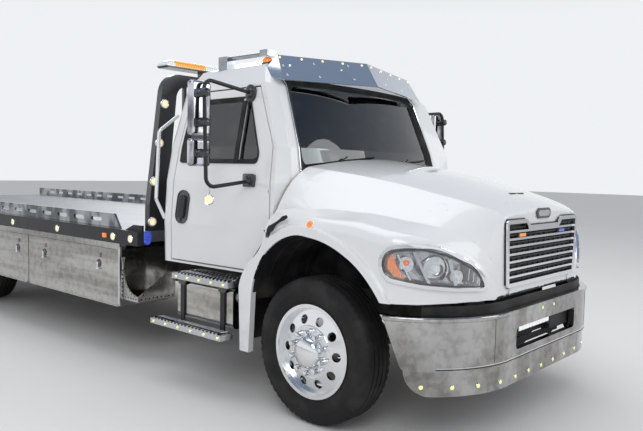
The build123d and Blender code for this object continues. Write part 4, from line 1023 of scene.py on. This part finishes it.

# %% [markdown]
# ## Light bar in the bumper
# A short bar of square lenses sits in the bumper's middle opening on two brackets. Dark plates behind
# it close the view into the frame and paint the shade there.

# %% Light bar in the bumper
bar_body, bar_lens = Form(), Form()
bar_blocks = (
    # low corner, high corner, eased by: the bar, its ends, its brackets, the dark plates of painted shade
    # behind it
    ((0.930, -0.315, 0.620), (0.975, 0.150, 0.668), 0.006),
    ((0.935, -0.325, 0.600), (0.968, -0.305, 0.675), 0.003),
    ((0.935, 0.150, 0.600), (0.968, 0.170, 0.675), 0.003),
    ((0.800, -0.250, 0.632), (0.932, -0.190, 0.640), 0.002),
    ((0.800, 0.030, 0.632), (0.932, 0.090, 0.640), 0.002),
    ((0.905, -0.425, 0.560), (0.913, 0.425, 0.705), 0.002),
    ((0.915, -0.425, 0.515), (0.923, 0.425, 0.556), 0.002),
    ((0.962, -0.470, 0.560), (0.970, -0.330, 0.705), 0.002),
    ((0.962, 0.175, 0.560), (0.970, 0.470, 0.705), 0.002),
)
for low, high, eased in bar_blocks:
    bar_body.block(at(*low), at(*high), eased)
bar_body.piece("light_bar_body", "chassis", dark_plastic)
for index in range(9):
    place = at(0.974, -0.285 + index * 0.050, 0.644)
    bar_lens.pad(place, leftward, (0.022, 0.019, 0.006), forward * 0.006, 0.003)
bar_lens.piece("light_bar_lenses", "chassis", white_led)

# %% [markdown]
# ## Inside the headlights
# Behind a clear lens a truck's headlight has a dark surround, a silvered back, round reflector bays
# with a bulb in each, slanting ribs between them and an amber signal at the rear end. All of it is laid
# out on the lens's own plane, and a ray from outside finds the lens at each point, so that the parts
# keep one depth behind its curve.

# %% Headlight outline
# The headlight floors' dark patches are painted reflections.
lamp_silver = painted_reflection_metal("lamp_silver", (0.80, 0.81, 0.83), (0.10, 0.105, 0.11), 0.08, 0.008, stretch=(4, 4, 4))
slot_of[lamp_silver.name] = "chrome"
lamp_out, lamp_along = Vector((0.661, -0.75, 0)), Vector((0.75, 0.661, 0))
lamp_outline = []
for start, through, end in (((-0.200, 0.998), (-0.258, 1.082), (-0.180, 1.176)),
                            ((-0.180, 1.176), (0.020, 1.180), (0.235, 1.098)),
                            ((0.235, 1.098), (0.325, 1.035), (0.366, 0.962)),
                            ((0.366, 0.962), (0.368, 0.940), (0.350, 0.930)),
                            ((0.350, 0.930), (0.080, 0.948), (-0.200, 0.998))):
    lamp_outline += arc(start, through, end, 7)[:-1]


def behind_lens(u, z, depth):
    """A point some depth behind the lens, u along it and z above the ground."""
    spot, _ = touch(("headlights",), at(0.720, -1, z) + lamp_along * u + lamp_out * 0.5, -lamp_out)
    return spot - lamp_out * depth


def drawn_in(points, amount):
    """A flat closed outline moved inwards along its own normals."""
    result = []
    for index, here in enumerate(points):
        way = points[(index + 1) % len(points)] - points[index - 1]
        result.append(here + Vector((-way.y, way.x)).normalized() * -amount)
    return result


print("lamp outline of", len(lamp_outline), "points")

# %% Headlight insides
back_depth = 0.030
lamp_bays = ((0.055, 1.060, 0.072), (0.185, 1.010, 0.040), (-0.115, 1.085, 0.044))
bay_rings = ((1, 0), (0.97, 0.010), (0.9, 0.006), (0.7, -0.012), (0.4, -0.02), (0.1, -0.022))
bulb_rings = ((0.30, -0.02), (0.32, -0.002), (0.24, 0.008), (0.08, 0.012))
lamp_ribs = (
    # top u, top z, foot u, foot z, half width
    (-0.075, 1.158, 0.020, 0.975, 0.009),
    (-0.165, 1.140, -0.085, 0.992, 0.006),
    (0.135, 1.115, 0.180, 0.957, 0.010),
    (0.262, 1.060, 0.250, 0.950, 0.004),
    (0.290, 1.035, 0.285, 0.948, 0.004),
    (0.315, 1.005, 0.315, 0.948, 0.004),
)
pocket = ((0.205, 1.095), (0.225, 0.985), (0.300, 0.960), (0.335, 0.985), (0.300, 1.045), (0.255, 1.078))
wedge = ((-0.180, 1.013), (-0.120, 1.003), (-0.165, 1.075), (-0.192, 1.140), (-0.215, 1.105), (-0.216, 1.060))
back, floor, surround, bulbs, signal = Form(), Form(), Form(), Form(), Form()
edge, step, foot = (drawn_in(lamp_outline, amount) for amount in (0.0165, 0.021, 0.030))
surround.skin([[behind_lens(*p, 0.003) for p in edge],
               [behind_lens(*p, 0.003) - lamp_out * 0.002 for p in step],
               [behind_lens(*p, back_depth) for p in foot]], closed=True)
floor.mesh.faces.new([floor.mesh.verts.new(behind_lens(*p, back_depth)) for p in foot])
for u, z, radius in lamp_bays:
    centre = behind_lens(u, z, 0.026)
    back.turned(centre, lamp_out, [(radius * share, along) for share, along in bay_rings], 32, capped=False)
    bulbs.turned(centre, lamp_out, [(radius * share, along) for share, along in bulb_rings], 20)
for top_u, top_z, foot_u, foot_z, half in lamp_ribs:
    corners = ((foot_u - half, foot_z), (foot_u + half, foot_z), (top_u + half, top_z), (top_u - half, top_z))
    back.plate([behind_lens(*p, back_depth) for p in corners], lamp_out * 0.020, 0.002)
surround.plate([behind_lens(*p, 0.029) for p in pocket], lamp_out * 0.010, 0.003)
signal.turned(behind_lens(-0.115, 1.095, 0.020), lamp_out, [(0.016, 0), (0.017, 0.010), (0.012, 0.018),
                                                            (0.003, 0.020)], 20)
signal.plate([behind_lens(*p, 0.026) for p in wedge], lamp_out * 0.016, 0.003)
both_sides("hood", (back, "headlight_bays", chrome), (floor, "headlight_floors", lamp_silver),
           (surround, "headlight_surrounds", black_paint), (bulbs, "headlight_bulbs", white_led),
           (signal, "headlight_signals", amber_led))

# %% [markdown]
# ## Wipers
# Two wipers rest low on the windshield. Each is a tapered arm from a pivot below the glass, a short
# link and a long rubber blade. Rays find the glass along the blade, so it lies on the curve.

# %% Wipers
def on_glass(y, z, lift):
    spot, normal = touch(("cab_glass",), at(0.4, y, z), -forward)
    return spot + normal * lift


blade_section = ((0, -0.002), (0.010, -0.006), (0.014, 0.002), (0.010, 0.008), (0, 0.002))
wiper_rows = (
    # pivot's y, arm's tip, blade's first end, blade's last end
    (-0.56, (-0.40, 1.690), (-0.800, 1.625), (-0.080, 1.700)),
    (0.20, (0.36, 1.690), (-0.020, 1.635), (0.700, 1.695)),
)
arms, blades = Form(), Form()
for pivot_y, tip_at, first, last in wiper_rows:
    pivot, tip = on_glass(pivot_y, 1.590, 0.020), on_glass(*tip_at, 0.030)
    middle = on_glass((pivot_y + tip_at[0]) / 2, 1.655, 0.040)
    halfway = pivot.lerp(middle, 0.5) + forward * 0.006
    arms.tube([pivot, halfway, middle, tip], [0.013, 0.010, 0.007, 0.005], 8)
    arms.turned(pivot, (0.8, 0, 0.6), [(0.020, -0.022), (0.022, 0.006), (0.017, 0.016), (0.006, 0.018)], 16)
    path = [on_glass(*Vector(first).lerp(Vector(last), step / 12), 0.004) for step in range(13)]
    blades.skin([[point + Vector((x, 0, z)) for point in path] for x, z in blade_section], ring=True)
    lifts = ((3, 0.012, 0.004), (6, 0.022, 0.008), (9, 0.012, 0.004))
    arms.tube([path[step] + Vector((x, 0, z)) for step, x, z in lifts], 0.004, 6)
arms.piece("wiper_arms", "chassis", dark_plastic)
blades.piece("wiper_blades", "chassis", seal_rubber)

# %% [markdown]
# ## Hood fittings
# The hood is held down at each side by a moulded rubber latch that spans from cowl to hood. A small
# round marker lamp sits above each arch, and two slots near the nose take the hood's pull handles.

# %% Hood fittings
latches, latch_metal, marks, mark_rings, slots = Form(), Form(), Form(), Form(), Form()
latch_rows = (
    # x, z, lift off the hood's side, radius
    (-0.352, 1.170, 0.006, 0.008), (-0.338, 1.196, 0.012, 0.016), (-0.318, 1.214, 0.016, 0.021),
    (-0.296, 1.232, 0.018, 0.013), (-0.272, 1.250, 0.020, 0.009), (-0.244, 1.268, 0.022, 0.010),
    (-0.212, 1.284, 0.024, 0.015), (-0.182, 1.296, 0.024, 0.011),
)
side_top = 1.262
spine = []
for x, z, lift, _ in latch_rows:
    spot, _ = touch(("hood",), at(x, -1.6, min(z, side_top)), leftward)
    spine.append(Vector((spot.x, spot.y - lift, z + 0.004)))
latches.tube(spine, [row[3] for row in latch_rows], 12)
latch_metal.block(*(spine[0] + Vector(way) for way in ((-0.018, -0.004, -0.020), (0.014, 0.010, 0.014))))
lamp_place = touch(("hood",), at(0.005, -1.6, side_top), leftward)
mark_rings.turned(*lamp_place, [(0.031, -0.003), (0.031, 0.004), (0.027, 0.007), (0.022, 0.005)], 28)
marks.turned(*lamp_place, [(0.0225, 0.002), (0.0225, 0.008), (0.015, 0.012), (0.003, 0.014)], 28)
spot, _ = touch(("hood",), at(0.770, 0, 1.9), -upward)
for y in (-0.055, 0.055):
    slots.block(spot + Vector((-0.016, y - 0.042, -0.008)), spot + Vector((0.016, y + 0.042, 0.0012)), 0.004)
both_sides("hood", (latches, "hood_latches", seal_rubber), (latch_metal, "hood_latch_plates", black_paint),
           (mark_rings, "hood_marker_rings", white_paint), (marks, "hood_markers", amber_led))
slots.piece("hood_slots", "hood", dark_plastic)

# %% [markdown]
# ## Door fittings
# A rubber bar divides the door's window near its front, and the handle is a dark oval pocket with a
# paddle in it.

# %% Window dividers and door handles
def on_door(side, sign, x, z):
    return touch((f"door_{side}",), at(x, sign * 1.6, z), -leftward * sign)


divider_x = -0.7925
divider_section = ((-0.815, -0.002), (-0.811, 0.005), (-0.774, 0.005), (-0.770, -0.002))
for side, sign in sides:
    divider, pocket, paddle = Form(), Form(), Form()
    found = [on_door(side, sign, divider_x, 1.645 + step * 0.0285) for step in range(16)]
    divider.skin([[spot + forward * (x - divider_x) + normal * lift for spot, normal in found]
                  for x, lift in divider_section])
    centre, out = on_door(side, sign, -1.330, 1.302)
    up = Vector((0.12, 0, 1)).normalized()
    up = (up - out * up.dot(out)).normalized()
    along = up.cross(out).normalized()
    pocket.pad(centre - out * 0.002, along, (0.064, 0.118, 0.055), out * 0.006, 0.002, steps=9, up=up)
    pocket.tube(rounded(centre + out * 0.004, along, up, 0.066, 0.120, 0.057, 9), 0.006, 8, closed=True)
    paddle.pad(centre + out * 0.004, along, (0.032, 0.088, 0.026), out * 0.016, 0.005, steps=8, up=up)
    paddle.dome(centre + out * 0.004 - up * 0.100, out, 0.010, 0.006)
    for form, name, finish in ((divider, "window_divider", seal_rubber),
                               (pocket, "door_handle_pocket", black_paint),
                               (paddle, "door_handle_paddle", dark_plastic)):
        form.piece(f"{name}_{side}", f"door_{side}", finish)

# %% [markdown]
# ## Mirror fittings
# The mirror's arm ends in two black brackets on the door, and rounded clamps hold its heads, which
# have glass on the rear side. A small round lamp hangs from the arm's lower bend.

# %% Mirror fittings
clamp_rings = [(0.030, -0.004), (0.032, 0.012), (0.026, 0.030), (0.024, 0.040), (0.030, 0.046),
               (0.028, 0.058), (0.018, 0.066), (0.004, 0.069)]
bracket_rows = (
    # x, z, half width, half height, corner radius
    (-0.728, 2.116, 0.048, 0.060, 0.046),
    (-0.630, 1.515, 0.055, 0.045, 0.014),
)
for side, sign in sides:
    brackets, glass, hanger, lamp_ring, lamp_disc = Form(), Form(), Form(), Form(), Form()
    for x, z, *sizes in bracket_rows:
        spot, normal = on_door(side, sign, x, z)
        brackets.pad(spot - normal * 0.002, forward, sizes, normal * 0.026, 0.005, steps=8)
        brackets.dome(spot + normal * 0.020, normal, 0.034, 0.022)
    for z in (1.690, 1.890, 2.080):
        brackets.turned(at(-0.725, sign * 1.450, z), forward, clamp_rings, 20)
    for foot, top in ((1.605, 1.784), (1.805, 2.158)):
        sizes = (0.066, (top - foot) / 2 - 0.018, 0.018)
        glass.pad(at(-0.7845, sign * 1.4425, (foot + top) / 2), leftward, sizes, forward * -0.0005)
    place = at(-0.700, sign * 1.400, 1.388)
    bend = at(-0.672, sign * 1.420, 1.468)
    hanger.tube([bend, at(-0.680, sign * 1.412, 1.440), place + upward * 0.030], 0.005, 8)
    ring_lamp(lamp_ring, lamp_disc, place, (0.55, sign * 0.8, 0), 0.036)
    for form, name, finish in ((brackets, "brackets", black_paint), (glass, "glasses", chrome),
                               (hanger, "lamp_hanger", chrome), (lamp_ring, "lamp_ring", chrome),
                               (lamp_disc, "lamp", warm_led)):
        form.piece(f"mirror_{name}_{side}", f"door_{side}", finish)

# %% [markdown]
# ## Steps
# The treads are punched sheet: rows of raised, rolled teeth keep a boot from slipping. They are
# slanting raised bars here with thin black plates of painted shade in the holes between them, leaning
# one way and the other from row to row. Plates join the straps to the upper tread, and small round
# lamps follow both front edges.

# %% Step treads and lamps
teeth, tread_shade, gussets, step_rings, step_leds = Form(), Form(), Form(), Form(), Form()
pitch, bar_half, slant, row_wide, sunk = 0.0400, 0.024, 0.010, 0.060, 0.0005
treads = (
    # rear x, front x, outer y, inner y, top z
    (-1.306, -0.700, -1.232, -0.985, 0.820),
    (-1.488, -0.700, -1.294, -1.200, 0.465),
)
for x0, x1, y0, y1, z in treads:
    rows = round((y1 - y0) / row_wide) or 1
    for row in range(rows):
        y = y0 + (y1 - y0) * (row + 0.5) / rows
        lean = slant if row % 2 else -slant
        for column in range(int((x1 - x0) / pitch)):
            x = x0 + pitch * (column + 0.5)
            # The thin black plates between the teeth are painted shade in the punched holes.
            for form, shift, half, height in ((teeth, 0, 0.0080, 0.0085), (tread_shade, pitch / 2, 0.0100, 0.0006)):
                corners = ((-half - lean, -bar_half), (half - lean, -bar_half), (half + lean, bar_half),
                           (-half + lean, bar_half))
                form.plate([at(x + shift + dx, y + dy, z - sunk) for dx, dy in corners],
                           upward * (height + sunk), min(0.0025, height / 2))
gusset = ((-0.062, strap_top), (-0.026, 0.735), (0.026, 0.735), (0.062, strap_top))
for place in strap_places:
    gussets.plate([at(place + dx, -1.1985, z) for dx, z in gusset], leftward * 0.006, 0.001)
step_lamps = [(x, 0.800) for x in (-1.262, -1.131, -0.999, -0.866, -0.735)]
step_lamps += [(x, 0.446) for x in (-1.452, -1.305, -1.158, -1.011, -0.864, -0.717)]
for x, z in step_lamps:
    place = touch(("cab_steps",), at(x, -1.6, z), leftward)
    step_rings.turned(*place, [(0.0125, -0.001), (0.0125, 0.003), (0.011, 0.0045), (0.0095, 0.002)], 16)
    step_leds.turned(*place, [(0.0098, 0), (0.0098, 0.004), (0.006, 0.007), (0.001, 0.008)], 16)
both_sides("chassis", (teeth, "step_teeth", chrome), (tread_shade, "step_tread_shade", liner_black),
           (gussets, "step_gussets", black_paint), (step_rings, "step_lamp_rings", chrome),
           (step_leds, "step_lamps", green_led))

# %% [markdown]
# ## Tank and toolbox details
# The fuel tank has a filler with a screw cap on its front end. Each toolbox door has two latches with
# a T handle in a round seat.

# %% Fuel caps and toolbox latches
caps = Form()
caps.turned(*touch(("fuel_tanks",), at(-0.4, -1.090, 0.700), -forward),
            [(0.052, -0.012), (0.052, 0.006), (0.046, 0.008), (0.046, 0.024), (0.042, 0.030),
             (0.010, 0.031)], 28)
caps.mirrored().piece("fuel_caps", "chassis", polished_rim)
box_rear, box_split, box_front, latch_share = -4.760, -3.620, -2.030, 0.2
handle_stem = (((0, 0.014, 0.006), (0, 0.015, -0.046)), [0.007, 0.006])
handle_bar = (((-0.018, 0.015, -0.047), (0.018, 0.015, -0.047)), 0.0055)
for side, sign in sides:
    for part, x0, x1 in (("front", box_split, box_front), ("rear", box_rear, box_split)):
        handles, seats = Form(), Form()
        inset_x = (x1 - x0) * latch_share
        for x in (x0 + inset_x, x1 - inset_x):
            centre, out = at(x, sign * 1.228, 0.780), leftward * sign
            seats.turned(centre, out, [(0.034, -0.001), (0.034, 0.003), (0.030, 0.005), (0.026, 0.001)], 28)
            handles.turned(centre, out, [(0.011, 0), (0.011, 0.012), (0.014, 0.016), (0.008, 0.020)], 16)
            for ends, radius in (handle_stem, handle_bar):
                handles.tube([centre + Vector((x, sign * y, z)) for x, y, z in ends], radius, 8)
        handles.piece(f"latch_handles_{part}_{side}", f"toolbox_door_{part}_{side}", chrome)
        seats.piece(f"latch_seats_{part}_{side}", f"toolbox_door_{part}_{side}", black_paint)

# %% [markdown]
# ## Corner guard and toolbox bolts
# The corner guard ahead of the toolbox is punched with a row of round holes along its edges: dark
# discs of painted shade with a thin bright ring. A bright strip covers the toolbox's front corner. Bolts
# hold that strip, and a row of them runs along the toolbox's lip above the doors.

# %% Guard holes, strips and bolts
hole_shade, hole_rims, strips, bolts = Form(), Form(), Form(), Form()
side_holes = [(-2.022, 0.545 + index * 0.034) for index in range(7)]
side_holes += [(-1.986 + index * 0.036, 0.537) for index in range(5)]
side_holes += [(-1.990, 0.655), (-1.965, 0.620), (-1.935, 0.592), (-1.898, 0.574), (-1.858, 0.562)]
face_holes = [(-1.170 + index * 0.038, 0.537) for index in range(9)]
face_holes += [(-1.150, 0.570), (-1.100, 0.598), (-1.050, 0.630), (-1.000, 0.660)]
rays = [(at(x, -1.6, z), leftward) for x, z in side_holes]
rays += [(at(-1.6, y, z), -forward) for y, z in face_holes]
for ray in rays:
    place = touch(("toolboxes",), *ray)
    # Each dark disc is painted shade in a punched hole.
    hole_shade.turned(*place, [(0.0085, -0.001), (0.0085, 0.0006), (0.004, 0.0007)], 14)
    hole_rims.turned(*place, [(0.0115, -0.001), (0.0110, 0.0012), (0.0088, 0.0012), (0.0086, 0.0004)], 14,
                     capped=False)
strips.block(at(-2.052, -1.2315, 0.462), at(-2.026, -1.2085, 0.944), 0.002)
bolt_places = [(-2.040, -1.2315, z) for z in (0.50, 0.60, 0.70, 0.80, 0.90)]
bolt_places += [(-4.60 + index * 0.315, -1.232, 0.945) for index in range(9)]
for place in bolt_places:
    bolts.dome(at(*place), -leftward, 0.006, 0.004, 8)
both_sides("chassis", (hole_shade, "guard_hole_shade", dark_plastic),
           (hole_rims, "guard_hole_rims", polished_steel),
           (strips, "toolbox_corner_strips", polished_steel), (bolts, "toolbox_bolts", chrome))

# %% [markdown]
# ## Bumper edges
# The bumper's main part is rolled at its lower edge and stands a little proud of the lower panel. A
# bright line shows that, with a black line of painted shadow below it, both found by rays all along the
# bend. A dark seam with two bolts beside it parts each end from the middle.

# %% Bumper edges
bright_line, shadow_and_seams = Form(), Form()


def along_bumper(places, sunk):
    return [spot - normal * sunk for spot, normal in (on_bumper(y, z) for y, z in places)]


bright_line.tube(along_bumper([(-1.02 + index * 0.034, 0.5025) for index in range(61)], 0.001), 0.004, 6)
# The black tube under the rolled edge is painted shadow; the seams below are the bumper's real joints.
shadow_and_seams.tube(along_bumper([(-1.02 + index * 0.034, 0.4940) for index in range(61)], 0.001), 0.0035, 6)
for sign in (-1, 1):
    seam = along_bumper([(sign * 0.685, 0.784 - index * 0.027) for index in range(11)], 0.0015)
    shadow_and_seams.tube(seam, 0.0028, 6)
    for index in (3, 8):
        bright_line.dome(seam[index] + Vector((0.002, -0.05 * sign, 0)), forward, 0.009, 0.004, 12)
bright_line.piece("bumper_bright_line", "chassis", chrome)
shadow_and_seams.piece("bumper_shadow_and_seams", "chassis", seal_rubber)

# %% [markdown]
# ## Visor and roof fittings
# The visor is riveted to its brackets, and a row of small lamps follows its top edge. An amber marker
# sits on the roof just behind each of its outer corners.

# %% Visor and roof fittings
rivets, visor_leds, roof_marks, roof_bases = Form(), Form(), Form(), Form()
for y, z in ((-0.20, 2.395), (-0.20, 2.290), (-0.52, 2.372), (-0.52, 2.275), (-0.80, 2.330), (-0.80, 2.262)):
    rivets.dome(*touch(("sun_visor",), at(0.6, y, z), -forward), 0.008, 0.005, 10)
for index in range(5):
    y = -0.06 - index * 0.185
    visor_leds.turned(*touch(("sun_visor",), at(0.6, y, 2.415 + y * 0.030), -forward),
                      [(0.009, -0.001), (0.009, 0.003), (0.006, 0.006), (0.001, 0.007)], 14)
place = touch(cab_shell, at(-0.790, -0.800, 2.7), -upward)
roof_bases.turned(*place, [(0.046, -0.006), (0.046, 0.006), (0.040, 0.010)], 24)
roof_marks.turned(*place, [(0.039, 0.008), (0.037, 0.020), (0.026, 0.034), (0.006, 0.040)], 24)
both_sides("chassis", (rivets, "visor_rivets", chrome), (visor_leds, "visor_lamps", warm_led),
           (roof_bases, "roof_marker_bases", black_paint), (roof_marks, "roof_markers", amber_led))

# %% [markdown]
# ## Light bar on the hoop
# The bar has a dark base, amber domes towards its ends and clear ones elsewhere. Its one mesh gets a
# finish that picks base, amber or clear lens by place, over a grid of diodes.

# %% Light bar finish
lens_foot, amber_inner, amber_outer = 2.398, 0.62, 0.93
bar_finish = Finish("bar_finish", Roughness=0.12, Coat_Weight=1, Emission_Strength=0.35)
across_bar = out_from_middle(bar_finish)
lens = bar_finish.axis("Z") > lens_foot
amber_zone = (across_bar > amber_inner) * (1 - (across_bar > amber_outer)) * lens
spots = (1 - bar_finish.band(dotted(bar_finish, 55, 0.1), 0.2, 0.6)) * lens
base_or_clear = bar_finish.blend(lens, (0.03, 0.03, 0.035), (0.62, 0.66, 0.68))
ground = bar_finish.blend(amber_zone, base_or_clear, (0.85, 0.30, 0.02))
lit = bar_finish.blend(amber_zone, (0.9, 0.95, 1.0), (1.0, 0.62, 0.12))
bar_finish.shade(Base_Color=bar_finish.blend(spots * 0.7, ground, lit),
                 Emission_Color=bar_finish.blend(spots, (0, 0, 0), lit))
bar_finish.relief(spots, 0.001)
nodes["lightbar"].data.materials[0] = bar_finish.material
print("light bar:", bar_finish.material.name)

# %% [markdown]
# ## Rear lamps, winch rope and valve stems
# The deck's rear end has a pair of red lamps at each side. The drum is full of steel rope, turned as
# one rippled ring, and each front wheel has a valve stem.

# %% Rear lamps, rope and stems
tail, tail_rings, rope = Form(), Form(), Form()
for y in (-1.140, -1.060):
    ring_lamp(tail_rings, tail, at(-8.325, y, 1.040), -forward, 0.026)
tail_rings.mirrored().piece("tail_lamp_rings", "deck", chrome)
tail.mirrored().piece("tail_lamps", "deck", red_led)
rope_rings = [(0.0705, -0.229)]
for index in range(19):
    for quarter, radius in enumerate((0.084, 0.090, 0.084, 0.079), 1):
        rope_rings.append((radius, -0.228 + index * 0.024 + quarter * 0.006))
rope_rings.append((0.0705, 0.229))
rope.turned(at(-2.000, 0, 1.220), leftward, rope_rings, 40)
rope.piece("winch_rope", "winch_drum", rod_steel)
stem_path = ((0.236, 1.090), (0.230, 1.118), (0.206, 1.130))
for side, sign in sides:
    stem = Form()
    stem.tube([at(x, sign * y, tyre_radius) for x, y in stem_path], 0.005, 8)
    stem.piece(f"valve_stem_{side}", f"wheel_front_{side}", rod_steel)

# %% [markdown]
# ## The studio
# A pale floor, a pale world and a few large soft lamps. Camera, mirror and see-through rays see the
# world as a pale sky that darkens upwards, and all others get a softer light from it, so that the
# white cab still stands out from the white round it.

# %% Floor
floor_half, floor_z = 60, -0.001
floor_mesh = bpy.data.meshes.new("studio_floor")
floor_corners = [(x * floor_half, y * floor_half, floor_z) for x, y in ((-1, -1), (1, -1), (1, 1), (-1, 1))]
floor_mesh.from_pydata(floor_corners, [], [(0, 1, 2, 3)])
studio_floor = bpy.data.objects.new("studio_floor", floor_mesh)
bpy.context.scene.collection.objects.link(studio_floor)
floor_paint = Finish("floor_paint", Roughness=0.85)
floor_tone = floor_paint.blend(floor_paint.clouds(0.4), (0.74, 0.74, 0.74), (0.78, 0.78, 0.77))
floor_paint.shade(Base_Color=floor_tone)
floor_mesh.materials.append(floor_paint.material)
print("floor of", 2 * floor_half, "m")

# %% World
world = bpy.data.worlds.new("studio")
world.use_nodes = True
bpy.context.scene.world = world
sky = Graph(world.node_tree)
height = sky.add("SeparateXYZ", inputs={0: sky.add("TexCoord", out="Generated")}, out="Z")
fall = sky.add("ValToRGB", inputs={0: height})
sky_stops = ((0.22, (0.86, 0.88, 0.9, 1)), (0.62, (0.2, 0.26, 0.36, 1)))
for stop, (position, colour) in zip(fall.socket.node.color_ramp.elements, sky_stops):
    stop.position, stop.color = position, colour
plain = sky.tree.nodes["Background"]
sky.plug(plain.inputs["Color"], fall)
soft = sky.add("Background", inputs={"Color": (0.95, 0.97, 1, 1), "Strength": 0.62})
rays = sky.tree.nodes.new("ShaderNodeLightPath").outputs
seen = Wire(sky, rays["Is Camera Ray"])
for ray in ("Is Glossy Ray", "Is Transmission Ray"):
    seen = sky.add("Math", {"operation": "MAXIMUM"}, {0: seen, 1: Wire(sky, rays[ray])})
choose = sky.add("MixShader", inputs={0: seen, 1: soft, 2: Wire(sky, plain.outputs[0])})
sky.plug(sky.tree.nodes["World Output"].inputs["Surface"], choose)
print("world nodes:", len(sky.tree.nodes))

# %% Lamps
lamp_rows = (
    # name, place, target, size, watts
    ("key", (9, -9, 8), (3, 0, 1), 6, 330),
    ("top", (1, -1, 9), (0, 0, 1), 9, 270),
    ("fill", (11, 5, 5), (4, 0, 1), 6, 150),
    ("back", (-9, 7, 7), (0, 0, 1), 6, 230),
)
for name, place, target, size, watts in lamp_rows:
    data = bpy.data.lights.new(name, "AREA")
    data.shape, data.size, data.energy = "DISK", size, watts
    lamp = bpy.data.objects.new(name, data)
    lamp.location = place
    lamp.rotation_euler = (Vector(target) - Vector(place)).to_track_quat("-Z", "Y").to_euler()
    bpy.context.scene.collection.objects.link(lamp)
bpy.context.scene.view_settings.view_transform = "Standard"
print("lamps:", len(lamp_rows))
